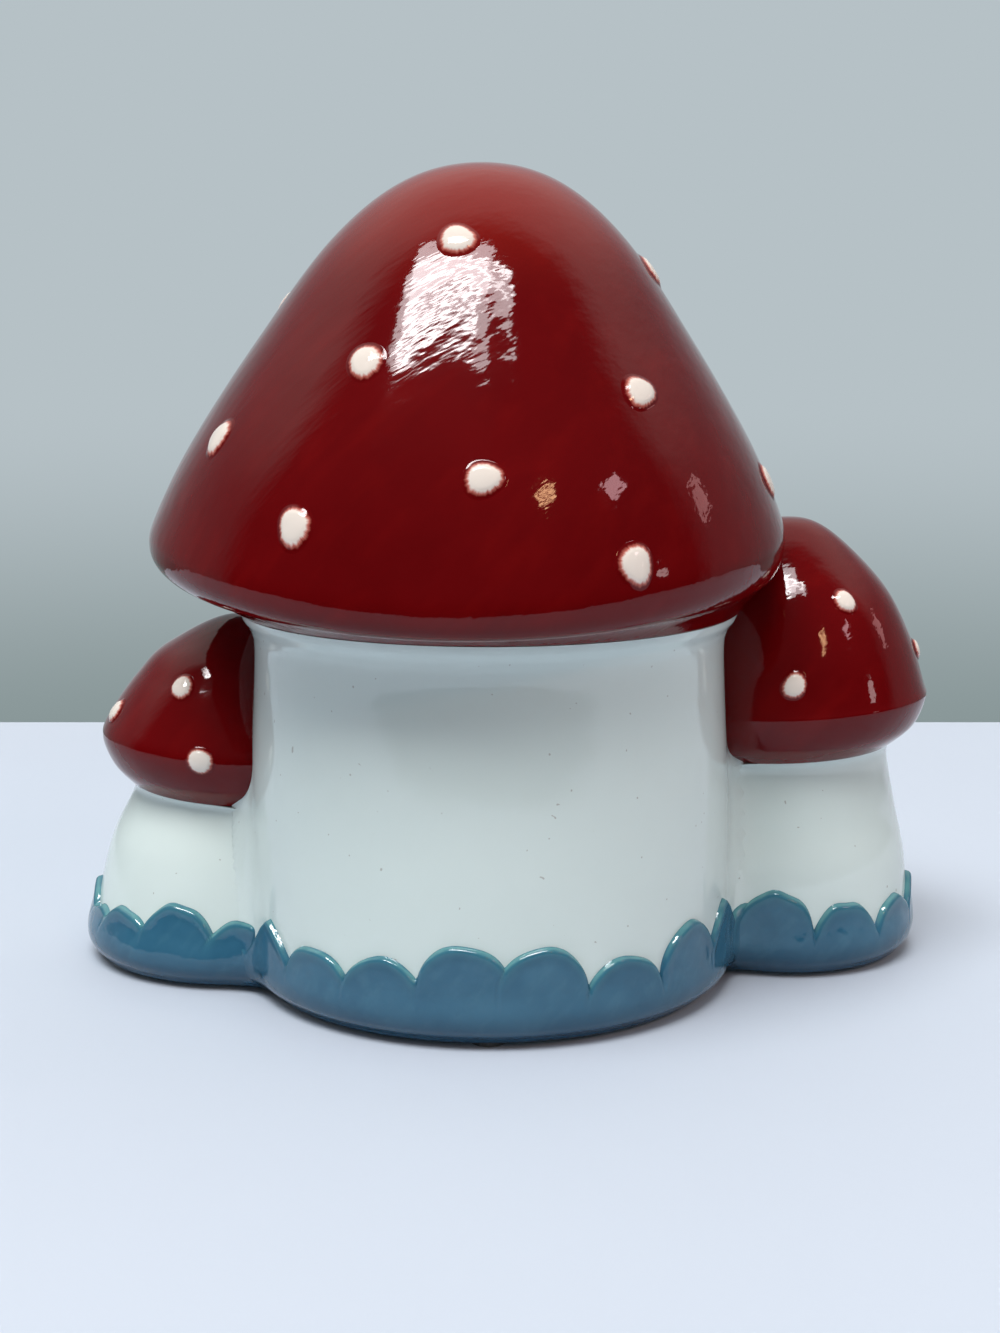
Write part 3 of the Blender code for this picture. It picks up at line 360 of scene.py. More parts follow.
# Small stems. Two slip-cast cups with closed floors, the short one squat and the tall one
# slimmer, each trimmed to the large stem and luted on. They have a round window in front.
SMALL_WALL = 3.4 * MM
SMALL_STEPS = 224
PLUG_STEPS = 96
SOLE_HOLLOW = 0.15 * MM       # the small floors rise this much in the middle
STEM_SINK = 2.2 * MM          # the small stems reach this far into the large one
stem_body = (STEM_AXIS, STEM_LINE)

# The large cap's shape is given here, as it trims the small stems.
SEAT = STEM_TOP + 0.3 * MM
CAP_RADIUS = 55.5 * MM
CAP_WIDEST = 78.5 * MM
CAP_TOP = 143.2 * MM
CAP_SHIFT = 3.8 * MM
TIP_SHIFT = 1.2 * MM
BACK_SAG = 6.2 * MM
SAG_SPREAD = 10 * MM      # the sag fades over this height, above the rim and below it
SEAT_EASE = 6 * MM        # and it comes in over this height above the seat
CAP_LINE = flowing([(0.0, 143.2), (13.0, 140.2), (25.2, 130.3), (37.5, 113.3), (48.3, 96.1),
                    (54.3, 83.5), (55.15, 78.5), (53.4, 74.4), (48.6, 70.7), (43.9, 67.0)]) * MM


def lean_at(height):
    """How far the large cap stands to the short mushroom's side at heights."""
    low = np.clip((height - SEAT) / (CAP_WIDEST - SEAT), 0, 1)
    high = np.clip((height - CAP_WIDEST) / (CAP_TOP - CAP_WIDEST), 0, 1)
    return CAP_SHIFT * np.sin(low * pi / 2) + (TIP_SHIFT - CAP_SHIFT) * high


def lean(piece):
    """Lean a piece as the large cap leans, and let its rim sag a little at the back."""
    places = corners(piece)
    x, y, z = places.T
    facing = np.clip(y / CAP_RADIUS, 0, 1) ** 2
    rim = np.exp(-((z - CAP_WIDEST) / SAG_SPREAD) ** 2) * np.clip((z - SEAT) / SEAT_EASE, 0, 1)
    places[:, 0] += np.where(z > SEAT, lean_at(z), 0)
    places[:, 2] -= BACK_SAG * facing * rim
    move_corners(piece, places)


def plug(shrink):
    """A solid of the large mushroom, a little smaller, that trims its neighbours."""
    inner = [(r - shrink, z) for r, z in CAP_LINE if z > SEAT]
    inner += [(r - shrink, z) for r, z in STEM_LINE if z < STEM_TOP]
    inner = [(max(r, 0.0), z) for r, z in inner]
    tool = turned("plug", [(0.0, inner[0][1] - shrink), *inner[1:], (0.0, 0.0)], STEM_AXIS,
                  PLUG_STEPS)
    lean(tool)
    return tool


def droop(piece, axis, line, slope):
    """Tilt the top of a small mushroom's stem, or the rim of its cap, toward the large one."""
    places = corners(piece)
    low, high = line[-1, 1], line[0, 1]
    rise = (places[:, 2] - low) / (high - low)
    if piece.name.endswith("stem"):
        share = np.clip(rise * 2 - 1, 0, 1)
    else:
        share = np.clip(1.15 - rise, 0, 1)
    away = (places[:, 0] - axis[0]) * np.sign(axis[0])
    places[:, 2] += slope[0] * away * share + slope[1] * share
    move_corners(piece, places)


def small_stem(name, axis, line, top, slope):
    """A cup with a thick wall, filleted to the large stem and trimmed by it."""
    low = radius_at(line, FOOT + SMALL_WALL) - SMALL_WALL
    middle = radius_at(line, top / 2) - SMALL_WALL
    lip = line[0, 0] - SMALL_WALL
    inside = [(0.0, FOOT + SOLE_HOLLOW), (0.0, FOOT + SMALL_WALL), (low, FOOT + SMALL_WALL),
              (middle, top / 2), (lip, top - SMALL_WALL), (lip, top)]
    piece = turned(name, [*line, *inside, line[0]], axis, SMALL_STEPS)
    swell_joins(piece, axis, line, SMALL_WALL, [stem_body])
    droop(piece, axis, line, slope)
    carve(piece, plug(STEM_SINK))
    return piece


def round_tool(radius, axis, height):
    """A round cutter that points out of a small stem's front."""
    bpy.ops.object.select_all(action="DESELECT")
    bpy.ops.mesh.primitive_cylinder_add(
        vertices=32, radius=radius, depth=ROUND_CUT, rotation=(pi / 2, 0, 0),
        location=(axis[0], axis[1] - ROUND_CUT, height))
    bpy.ops.object.transform_apply(location=True, rotation=True, scale=True)
    return bpy.context.object


ROUND_WINDOW = 3.6 * MM
ROUND_HEIGHT = 21.0 * MM
ROUND_CUT = 24.0 * MM
SHORT_SLOPE = (0.07, -1.8 * MM)       # tilt, and rise of the whole top
TALL_SLOPE = (0.05, 0.6 * MM)
short_stem = small_stem("short_ceramic_stem", SHORT_AXIS, SHORT_LINE, 33.4 * MM, SHORT_SLOPE)
tall_stem = small_stem("tall_ceramic_stem", TALL_AXIS, TALL_LINE, 38.2 * MM, TALL_SLOPE)
for piece, axis, node in ((short_stem, SHORT_AXIS, "short_stem"),
                          (tall_stem, TALL_AXIS, "tall_stem")):
    carve(piece, round_tool(ROUND_WINDOW, axis, ROUND_HEIGHT))
    smooth_edges(piece)
    dress(piece, WHITE, "white_glaze", node)


# Caps. Three slip-cast, thin-walled cones, a little off true, sponged with deep red underglaze
# below the clear glaze. Their cast dots are dabbed off-white, so that red fringes their edges.
DOT_RADIUS = 2.6 * MM
SMALL_DOT_RADIUS = 1.9 * MM
DOT_REACH = 1.7           # the cast swelling spreads to this many radii
DOT_PROUD = 0.85 * MM
DOT_DROP = 0.35           # how much of its height a dot loses toward its edge
DOT_SHOULDER = 0.7        # from this many radii on it falls to the cap
DOT_FALL = 0.75
DOT_SINK = 0.03 * MM      # its edge lies this far under the cap's surface
SQUAT = 0.8               # shape of the low dots at the back of the large cap
SQUAT_LEVEL = 95          # height in mm
SQUAT_END = 165           # azimuth in degrees
CAP_SINK = 0.6 * MM       # the small caps reach this far into the large mushroom
BARE = 9.0                # dot radii that stand for a place off every dot
UNEVEN_LEAST = (0.02, 0.01, 0, 0)     # two shares of the radius, and two turns
UNEVEN_MOST = (0.09, 0.07, 6, 6)
INSIDE_IN = 1.15          # how far in and down the inside of a cap lies, in walls
INSIDE_DOWN = 0.6
MAIN_DOTS = [             # azimuth in degrees, height in mm
    (83, 129.7), (175, 125.0), (65, 110.7), (129, 105.9), (30, 98.1), (93, 94.1), (169, 89.9),
    (60, 87.7), (119, 83.7), (352, 119.7), (265, 122.1), (222, 108.7), (300, 105.6),
    (338, 90.7), (198, 98.6), (252, 92.3), (285, 82.9), (217, 81.9),
]
SHORT_DOTS = [(64, 53.0), (21, 46.7), (81, 42.2), (325, 51.6), (280, 45.0), (335, 41.4)]
TALL_DOTS = [(116, 67.0), (86, 53.3), (173, 55.4), (250, 64.7), (215, 51.2), (280, 52.4)]
SHORT_CAP_LINE = flowing([(0.0, 63.5), (12.6, 58.3), (18.5, 52.6), (23.3, 45.8), (25.0, 41.7),
                          (23.3, 36.9), (20.0, 33.45)]) * MM
TALL_CAP_LINE = flowing([(0.0, 80.7), (7.4, 78.3), (17.2, 68.4), (22.4, 58.5), (25.3, 49.2),
                         (25.8, 46.5), (23.9, 41.7), (19.8, 38.25)]) * MM


def paint_map(piece, across, along):
    """Keep a place on a dot, in dot radii, as a map on the piece's faces."""
    layer = piece.data.uv_layers.new(name="dab")
    order = np.empty(len(piece.data.loops), dtype=np.int64)
    piece.data.loops.foreach_get("vertex_index", order)
    pairs = np.stack([across, along], axis=1)[order]
    layer.data.foreach_set("uv", pairs.ravel())


def dot(name, line, axis, azimuth, level, radius, squash, wobble):
    """One raised dot, laid on a cap's curve with its edge sunk into the surface."""
    bpy.ops.object.select_all(action="DESELECT")
    bpy.ops.mesh.primitive_uv_sphere_add(segments=40, ring_count=36, radius=1.0)
    piece = bpy.context.object
    bpy.ops.object.mode_set(mode="EDIT")
    bpy.ops.mesh.select_all(action="SELECT")
    bpy.ops.mesh.bisect(plane_co=(0, 0, 0.001), plane_no=(0, 0, 1), clear_inner=True)
    bpy.ops.object.mode_set(mode="OBJECT")
    ball = corners(piece)
    turn = np.arctan2(ball[:, 1], ball[:, 0])
    rho = np.arccos(np.clip(ball[:, 2], 0, 1)) / (pi / 2) * DOT_REACH
    oval, three_sided, first_turn, second_turn = wobble
    uneven = (1 + oval * np.cos(2 * turn + first_turn)
              + three_sided * np.cos(3 * turn + second_turn))
    across = rho * np.cos(turn)
    along = rho * np.sin(turn)
    travel = np.concatenate([[0], np.cumsum(np.hypot(*np.diff(line, axis=0).T))])
    start = np.interp(-level, -line[:, 1], travel)
    place = start - along * uneven * radius * squash
    r = np.interp(place, travel, line[:, 0])
    z = np.interp(place, travel, line[:, 1])
    dr = np.interp(place + MM, travel, line[:, 0]) - np.interp(place - MM, travel, line[:, 0])
    dz = np.interp(place + MM, travel, line[:, 1]) - np.interp(place - MM, travel, line[:, 1])
    length = np.hypot(dr, dz)
    dome = 1 - DOT_DROP * np.minimum(rho, 1) ** 2
    fall = np.clip((rho - DOT_SHOULDER) / DOT_FALL, 0, 1)
    sink = DOT_SINK * np.clip(rho / DOT_REACH, 0, 1) ** 4
    lift = DOT_PROUD * dome * (1 - fall * fall * (3 - 2 * fall)) - sink
    r_out = r - dz / length * lift
    z_out = z + dr / length * lift
    angle = radians(azimuth) + across * uneven * radius / r
    move_corners(piece, np.stack([axis[0] + r_out * np.cos(angle),
                                  axis[1] + r_out * np.sin(angle), z_out], axis=1))
    piece.name = name
    piece.data.uv_layers.remove(piece.data.uv_layers[0])
    paint_map(piece, across, along)
    return piece


def dotted_cap(name, line, wall, axis, dots, dot_radius, steps, slope=None):
    """A hollow cap with its dots. The large one leans, and the small ones droop to it."""
    seat_level = line[-1, 1]
    shrunk = line - (INSIDE_IN * wall, INSIDE_DOWN * wall)
    inside = [(r, z) for r, z in shrunk if z > seat_level + wall and r > 0][::6]
    mouth = line[-1, 0] - wall
    inside = [(mouth, seat_level), (mouth, seat_level + wall), *inside[::-1],
              (0.0, line[0, 1] - wall)]
    piece = turned(name, [*line, *inside], axis, steps)
    for layer in list(piece.data.uv_layers):
        piece.data.uv_layers.remove(layer)
    far = np.full(len(piece.data.vertices), BARE)
    paint_map(piece, far, far)
    wobbles = np.random.default_rng(len(dots)).uniform(UNEVEN_LEAST, UNEVEN_MOST,
                                                       (len(dots), 4))
    raised = []
    for (azimuth, level), wobble in zip(dots, wobbles):
        full = slope or level > SQUAT_LEVEL or azimuth > SQUAT_END
        raised.append(dot(f"{name}_dot", line, axis, azimuth, level * MM, dot_radius,
                          1.0 if full else SQUAT, wobble))
    if slope:
        for part in (piece, *raised):
            droop(part, axis, line, slope)
        carve(piece, plug(CAP_SINK))
    else:
        for part in (piece, *raised):
            lean(part)
    pick(*raised, piece)
    bpy.ops.object.join()
    smooth_edges(piece, 50)
    return piece


def red_glaze():
    """Deep red underglaze with off-white dabs, under clear glaze that ripples slightly."""
    glaze = Recipe("red_glaze", Roughness=0.05, IOR=1.5, Specular_IOR_Level=0.28)
    blotch = glaze.noise(14 * MM, 3.0)
    stroke = glaze.noise(1.0, 3.0, glaze.stretched((5, 5, 16), (0.0, -0.7, 0.0)))
    red = glaze.mix(blotch, colour(84, 3, 6), colour(100, 5, 8))
    red = glaze.mix(glaze.between(stroke, 0.45, 0.8) * 0.2, red, colour(124, 14, 12))
    # Painted light: the large cap's crown is a lighter red, where light from above falls.
    crown = glaze.between(glaze.split()[2], 118 * MM, 142 * MM)
    red = glaze.mix(crown * 0.8, red, colour(132, 28, 20))
    where = glaze.add("ShaderNodeUVMap", {"uv_map": "dab"}, {})
    reach = glaze.add("ShaderNodeVectorMath", {"operation": "LENGTH"}, {0: where}, 1)
    heading = glaze.add("ShaderNodeVectorMath", {"operation": "NORMALIZE"}, {0: where})
    hairs = glaze.add("ShaderNodeTexNoise", {}, {"Vector": heading, "Scale": 5.0, "Detail": 3.0})
    frayed = reach + (hairs - 0.5) * 0.30 + (glaze.noise(0.7 * MM) - 0.5) * 0.15
    thin = 1 - glaze.between(frayed, 0.98, 1.22)
    thick = 1 - glaze.between(frayed, 0.86, 1.06)
    dabbed = glaze.mix(thin * 0.75, red, colour(206, 118, 104))
    dabbed = glaze.mix(thick, dabbed, colour(226, 216, 206))
    glaze.feed("Base Color", dabbed)
    ripple = glaze.noise(1.0, 2.0, glaze.stretched((2.4, 2.4, 8), (0.0, -0.9, 0.0)))
    bristle = glaze.noise(1.0, 1.0, glaze.stretched((0.8, 0.8, 5), (0.0, -0.9, 0.0)))
    return glaze.bump(ripple * 0.7 + bristle * 0.16 + glaze.noise(8 * MM, 1.0), 0.08 * MM).made


RED = red_glaze()
main_cap = dotted_cap("red_cap", CAP_LINE, WALL, STEM_AXIS, MAIN_DOTS, DOT_RADIUS,
                      LARGE_STEPS)
short_cap = dotted_cap("short_red_cap", SHORT_CAP_LINE, SMALL_WALL, SHORT_AXIS, SHORT_DOTS,
                       SMALL_DOT_RADIUS, SMALL_STEPS, SHORT_SLOPE)
tall_cap = dotted_cap("tall_red_cap", TALL_CAP_LINE, SMALL_WALL, TALL_AXIS, TALL_DOTS,
                      SMALL_DOT_RADIUS, SMALL_STEPS, TALL_SLOPE)
dress(main_cap, RED, "red_glaze", "main_cap")
dress(short_cap, RED, "red_glaze", "short_cap")
dress(tall_cap, RED, "red_glaze", "tall_cap")


# Leaf border. Overlapping rounded leaves, cast in relief round the foot and brushed with
# blue-green underglaze, with painted highlight on the raised upper edges and painted shade in the
# hollows. Each stem has its own leaves, which stop just past the joins.
LEAF_HEIGHT = 15.0 * MM
LEAF_RISE = 7.6 * MM
LEAF_FOOT = 0.7 * MM
LEAF_MARGIN = 0.5 * MM    # the band goes on this far above the leaves, sunk into the stem
SKIN = 1.4 * MM           # how far the plain foot of the band stands off the stem
FOOT_ROUNDING = 3.0 * MM
PLAIN_FOOT = 5.6 * MM     # below this height the leaves run together
FADE = 4.6 * MM           # and over this height they come apart
BORDER_WALL = 1.6 * MM
BORDER_ROWS = 56
BACK_LEAVES = [           # azimuth in degrees, share of the height, roundness
    (12, 0.74, 2), (29.7, 1.05, 1.3), (48, 0.96, 2), (66, 1.0, 2), (84.5, 1.21, 2),
    (102, 1.16, 2), (121.5, 0.97, 2), (142, 1.15, 1.8), (161, 1.17, 1.3), (179, 1.0, 2),
]
SHORT_LEAVES = [
    (-155, 0.85, 2), (-128, 0.87, 2), (-101, 0.96, 2), (-74, 0.88, 2), (-47, 0.95, 2),
    (-20, 0.86, 2), (7, 0.95, 1.4), (26, 0.76, 2), (45, 0.85, 2), (71, 1.0, 2), (97, 0.86, 2),
    (125, 0.78, 2),
]
TALL_LEAVES = [
    (30, 0.80, 2), (57, 0.80, 1.4), (81, 1.09, 2), (112.5, 0.93, 2),
    (144, 0.88, 2), (171, 0.97, 1.5), (198, 0.86, 2), (225, 0.96, 2), (252, 0.87, 2),
    (279, 0.97, 2), (306, 0.89, 2), (333, 0.95, 2),
]
FRONT_LEAVES = [(216, 1.0, 2), (234, 1.09, 2), (252, 0.97, 2), (288, 1.03, 2), (306, 1.11, 2),
                (324, 0.99, 2)]
# Distance in from a leaf's outline, and how far the leaf stands off the stem there
RELIEF = flowing([(-0.6, -0.6), (-0.2, -0.4), (0.0, 0.15), (0.35, 0.85), (0.8, 1.1), (1.3, 1.06),
                  (2.2, 0.98), (3.2, 1.0), (4.6, 1.06), (6.5, 1.1), (9.0, 1.1)]) * MM
OVERLAP = 0.15 * MM       # a leaf's edge dips at most this far below the leaf under it
BETWEEN = -0.6 * MM       # where no leaf is, the band lies under the stem's surface
ON_TOP = 0.3 * MM         # a leaf comes over the one below within this distance
# The painted highlight of each leaf's edge and rim, and the painted shade of its hollow
HIGHLIGHT_EDGE = (0.1 * MM, 0.4 * MM)       # distance in from a leaf's outline, and width
HIGHLIGHT_RIM = (0.7 * MM, 0.8 * MM)
SHADED_HOLLOW = (2.3 * MM, 0.8 * MM)
BRUSH_WAVE = 0.16 * MM


def brush_wave(azimuth):
    """How far the hand-trimmed leaf edges wander up and down."""
    return BRUSH_WAVE * (np.sin(azimuth * 0.49) + np.sin(azimuth * 0.19 + 1.0))


def leaf_top(azimuth, leaves, half):
    """Height of the border's edge at azimuths in degrees."""
    top = np.full_like(azimuth, min(share for _, share, _ in leaves) * LEAF_HEIGHT - LEAF_RISE)
    for middle, share, sharp in leaves:
        across = np.abs((azimuth - middle + 180) % 360 - 180) / half
        arc = np.clip(1 - np.clip(across, 0, 1) ** sharp, 0, 1) ** (1 / sharp)
        top = np.maximum(top, np.where(across < 1, share * LEAF_HEIGHT - LEAF_RISE * (1 - arc), 0))
    return top + brush_wave(azimuth)


def stripe(inside, place, width):
    """A soft stripe along a leaf's outline, at a distance in from it."""
    return np.exp(-((inside - place) / width) ** 2)


def leaf_relief(azimuth, height, leaves, half, reach):
    """How far leaves stand off the stem, and how much is edge and rim with painted highlight
    and hollow with painted shade.
    """
    height = height - brush_wave(azimuth)
    lift = np.full_like(height, BETWEEN)
    edge = np.zeros_like(height)
    rim = np.zeros_like(height)
    hollow = np.zeros_like(height)
    for middle, share, sharp in leaves:
        across = np.abs((azimuth - middle + 180) % 360 - 180) / half
        up = np.clip(height - share * LEAF_HEIGHT + LEAF_RISE, 0, None) / LEAF_RISE
        inside = (1 - (across ** sharp + up ** sharp) ** (1 / sharp)) * reach
        on_top = np.clip(inside / ON_TOP + 0.5, 0, 1)
        on_top = on_top * on_top * (3 - 2 * on_top)
        shape = np.interp(inside, RELIEF[:, 0], RELIEF[:, 1])
        lift += (np.maximum(shape, lift - OVERLAP) - lift) * on_top
        # Painted highlight near the top of each leaf's edge and rim, painted shade in its hollow.
        upper = np.clip(up * 1.6 - 0.1, 0, 1)
        crown = np.clip(up * 2.2 - 0.8, 0, 1)
        edge += (upper * stripe(inside, *HIGHLIGHT_EDGE) - edge) * on_top
        rim += (upper * stripe(inside, *HIGHLIGHT_RIM) - rim) * on_top
        hollow += (crown * stripe(inside, *SHADED_HOLLOW) - hollow) * on_top
    return lift, edge, rim, hollow


def leaf_border(name, axis, line, start, end, leaves, half, neighbours, columns):
    """A band of leaves that follows a stem and its fillets from one azimuth to another."""
    bpy.ops.object.select_all(action="DESELECT")
    bpy.ops.mesh.primitive_grid_add(x_subdivisions=columns, y_subdivisions=BORDER_ROWS,
                                    size=2)
    piece = bpy.context.object
    piece.name = piece.data.name = name
    share = (corners(piece) + 1) / 2
    azimuth = start + (end - start) * share[:, 0]
    top = leaf_top(azimuth, leaves, half) + LEAF_MARGIN
    height = LEAF_FOOT + (top - LEAF_FOOT) * share[:, 1]
    reach = radians(half) * line[:, 0].max()
    lift, *painted_light_and_shade = leaf_relief(azimuth, height, leaves, half, reach)
    foot = np.clip((height - LEAF_FOOT) / FOOT_ROUNDING, 0, 1)
    body = SKIN * np.sqrt(1 - (1 - foot) ** 2)
    detail = np.clip((height - PLAIN_FOOT) / FADE, 0, 1)
    detail = detail * detail * (3 - 2 * detail)
    stand = body + (lift - body) * detail
    angle = np.radians(azimuth)
    radius = filleted(angle, height, axis, line, neighbours) + stand
    move_corners(piece, np.stack([axis[0] + radius * np.cos(angle),
                                  axis[1] + radius * np.sin(angle), height], axis=1))
    # The painted highlight and painted shade are kept as point attributes.
    for title, values in zip(("edge", "rim", "hollow"), painted_light_and_shade):
        layer = piece.data.attributes.new(title, "FLOAT", "POINT")
        layer.data.foreach_set("value", values * detail)
    pick(piece)
    thick = piece.modifiers.new("thickness", "SOLIDIFY")
    thick.thickness = BORDER_WALL
    thick.offset = -1
    bpy.ops.object.modifier_apply(modifier=thick.name)
    smooth_edges(piece, 60)
    return piece


def teal_glaze():
    """Brushed blue-green underglaze, painted highlight on raised edges, painted shade in hollows.
    """
    glaze = Recipe("teal_glaze", Roughness=0.07, IOR=1.5)
    edge, rim, hollow = (glaze.add("ShaderNodeAttribute", {"attribute_name": title}, {}, "Fac")
                         for title in ("edge", "rim", "hollow"))
    blotch = glaze.between(glaze.noise(9 * MM, 3.0), 0.3, 0.7)
    stroke = glaze.noise(1.0, 3.0, glaze.stretched((2.2, 2.2, 5.0), (0.0, -0.7, 0.0)))
    tone = glaze.mix(blotch, colour(44, 92, 118), colour(54, 102, 127))
    tone = glaze.mix(glaze.between(stroke, 0.45, 0.75) * 0.18, tone, colour(80, 128, 146))
    # The band is darker towards its foot.
    foot = 1 - glaze.between(glaze.split()[2], 0.0, 8 * MM)
    tone = glaze.mix(foot * 0.8, tone, colour(26, 60, 84))
    # Painted highlight on the leaves' rims and edges, painted shade in their hollows.
    tone = glaze.mix(rim * (0.35 + stroke * 0.45), tone, colour(60, 116, 130))
    tone = glaze.mix(hollow * (0.15 + stroke * 0.3), tone, colour(28, 80, 104))
    tone = glaze.mix(glaze.between(edge + (stroke - 0.5) * 0.7, 0.2, 1.1), tone,
                     colour(90, 144, 148))
    glaze.feed("Base Color", tone)
    return glaze.bump(glaze.noise(2.5 * MM, 2.0) + stroke * 0.3, 0.10 * MM).made


def joins(here, there, past):
    """Azimuths in degrees at which a stem's border stops, a little way inside another stem."""
    (axis, radius), (other, other_radius) = here, there
    run = (other[0] - axis[0], other[1] - axis[1])
    gap = hypot(*run)
    swing = acos((radius ** 2 + gap ** 2 - other_radius ** 2) / (2 * radius * gap))
    middle, swing = degrees(atan2(run[1], run[0])), degrees(swing) - past
    return middle - swing, middle + swing


TEAL = teal_glaze()
STEP_SIDE = 19.5          # degrees between the middle of the step and the border
MAIN_HALF = 10.4          # half a leaf's width in degrees
SMALL_HALF = 16.2
MAIN_PAST = 3             # degrees by which a border goes on past a join
SMALL_PAST = 5
main_foot = (STEM_AXIS, 42.6 * MM)
short_foot = (SHORT_AXIS, 27.0 * MM)
tall_foot = (TALL_AXIS, 23.2 * MM)
short_front, short_back = joins(main_foot, short_foot, MAIN_PAST)
tall_back, tall_front = (angle % 360 for angle in joins(main_foot, tall_foot, MAIN_PAST))
short_end, short_start = joins(short_foot, main_foot, SMALL_PAST)
tall_end, tall_start = joins(tall_foot, main_foot, SMALL_PAST)
borders = {
    "grass_back": (STEM_AXIS, STEM_LINE, short_back, tall_back, BACK_LEAVES, MAIN_HALF,
                   NEIGHBOURS, 520),
    "grass_front_tall_side": (STEM_AXIS, STEM_LINE, tall_front, 270 - STEP_SIDE, FRONT_LEAVES,
                              MAIN_HALF, NEIGHBOURS, 120),
    "grass_front_short_side": (STEM_AXIS, STEM_LINE, 270 + STEP_SIDE, 360 + short_front,
                               FRONT_LEAVES, MAIN_HALF, NEIGHBOURS, 120),
    "grass_short": (SHORT_AXIS, SHORT_LINE, short_start - 360, short_end, SHORT_LEAVES,
                    SMALL_HALF, [stem_body], 400),
    "grass_tall": (TALL_AXIS, TALL_LINE, tall_start, 360 + tall_end, TALL_LEAVES, SMALL_HALF,
                   [stem_body], 440),
}
for node, border in borders.items():
    band = leaf_border(f"leaves_{node}", *border)
    dress(band, TEAL, "teal_glaze", node)


# Door, its frame and the windows. All are moulded with the stem in shallow relief: a plank door
# with a ball knob, a surround of cobbles, and wooden window frames, brushed in brown and ochre.
def on_stem(axis, line, azimuth, across, up, out):
    """Places on a stem from distances across and up its front and out of its surface."""
    radius = radius_at(line, up) + out
    angle = radians(azimuth) + across / line[:, 0].max()
    return np.stack([axis[0] + radius * np.cos(angle), axis[1] + radius * np.sin(angle), up],
                    axis=1)


SHEET = 0.9 * MM          # thickness of the moulded pieces
BAR_SUNK = 0.3 * MM       # the edges of bars lie this far under the stem's surface
LOOK = 0.004              # share of a path to each side that gives its direction


def sheet_on_stem(name, columns, rows, shape, wrap):
    """A grid whose corners a function lays on a stem, thickened inwards."""
    bpy.ops.object.select_all(action="DESELECT")
    bpy.ops.mesh.primitive_grid_add(x_subdivisions=columns, y_subdivisions=rows, size=2)
    piece = bpy.context.object
    piece.name = piece.data.name = name
    u, v = corners(piece)[:, :2].T
    move_corners(piece, on_stem(*wrap, *shape(u, v)))
    pick(piece)
    bpy.ops.object.mode_set(mode="EDIT")
    bpy.ops.mesh.select_all(action="SELECT")
    bpy.ops.mesh.remove_doubles(threshold=MERGE)
    bpy.ops.object.mode_set(mode="OBJECT")
    thick = piece.modifiers.new("thickness", "SOLIDIFY")
    thick.thickness = SHEET
    thick.offset = -1
    bpy.ops.object.modifier_apply(modifier=thick.name)
    smooth_edges(piece, 60)
    return piece


def moulding(path, width, proud, cobbles=0):
    """A shape for a rounded bar along a path of (across, up) points, notched into cobbles."""
    path = np.array(path)
    travel = np.concatenate([[0], np.cumsum(np.hypot(*np.diff(path, axis=0).T))])
    travel /= travel[-1]

    def shape(u, v):
        along = (u + 1) / 2
        x, z = (np.interp(along, travel, path[:, k]) for k in (0, 1))
        ahead, behind = np.clip(along + LOOK, 0, 1), np.clip(along - LOOK, 0, 1)
        run = [np.interp(ahead, travel, path[:, k]) - np.interp(behind, travel, path[:, k])
               for k in (0, 1)]
        length = np.hypot(*run)
        section = np.clip(1 - np.abs(v) ** 3, 0, 1) ** 0.6
        if cobbles:
            beat = np.abs(np.sin(along * pi * cobbles))
            section = section * (0.35 + 0.65 * np.clip(beat * 2.2, 0, 1) ** 0.5)
        return (x - run[1] / length * v * width / 2, z + run[0] / length * v * width / 2,
                -BAR_SUNK + (proud + BAR_SUNK) * section)
    return shape


def brushed_glaze(name, dark, light, size):
    """Underglaze brushed on in one direction below the clear glaze."""
    glaze = Recipe(name, Roughness=0.1, IOR=1.5)
    stroke = glaze.noise(1.0, 4.0, glaze.stretched((size, size, 8 * size)))
    tone = glaze.mix(glaze.between(stroke, 0.3, 0.7), dark, light)
    pool = glaze.between(glaze.noise(3 * MM, 2.0), 0.35, 0.65)
    glaze.feed("Base Color", glaze.mix(pool * 0.3, tone, dark))
    return glaze.bump(stroke, 0.12 * MM).made


BROWN = brushed_glaze("brown_glaze", colour(84, 46, 24), colour(142, 92, 54), 0.8)
SAND = brushed_glaze("stone_glaze", colour(132, 120, 104), colour(190, 178, 158), 2.4)
GOLD = brushed_glaze("yellow_glaze", colour(178, 132, 44), colour(222, 184, 92), 1.2)
FRONT = (STEM_AXIS, STEM_LINE, -90)
DOOR_FOOT = 5.4 * MM
DOOR_HALF = 9.5 * MM
DOOR_SIDE = 20.0 * MM
DOOR_PROUD = 1.75 * MM
PLANK = 4.9 * MM
GROOVE_DEPTH = 0.55 * MM
GROOVE_WIDTH = 0.35 * MM
DOOR_EDGE = 0.6 * MM
DOOR_SUNK = 0.2 * MM
COBBLE = 2.6 * MM
COBBLES = 15


def plank_shape(u, v):
    """An arched door of four planks."""
    up = (v + 1) / 2
    up = np.sin(np.clip(up, 0, 1) * pi / 2) * (DOOR_SIDE + DOOR_HALF)
    crown = np.clip(up - DOOR_SIDE, 0, DOOR_HALF)
    half = np.sqrt(np.clip(DOOR_HALF ** 2 - crown ** 2, 0, None))
    across = u * half
    groove = np.abs((across / PLANK + 0.5) % 1 - 0.5) * PLANK
    dip = GROOVE_DEPTH * np.exp(-(groove / GROOVE_WIDTH) ** 2)
    rim = np.clip((1 - np.abs(u)) * half / DOOR_EDGE, 0, 1)
    return across, DOOR_FOOT + up, DOOR_PROUD * np.sqrt(rim) - dip - DOOR_SUNK


door = sheet_on_stem("plank_door", 96, 72, plank_shape, FRONT)
dress(door, BROWN, "brown_glaze", "front_door")
surround = sheet_on_stem("cobble_surround", 240, 14, moulding(
    arch_line(DOOR_HALF + COBBLE / 2, DOOR_SIDE, DOOR_FOOT, 40), COBBLE, COBBLE, COBBLES), FRONT)
dress(surround, SAND, "stone_glaze", "door_frame")


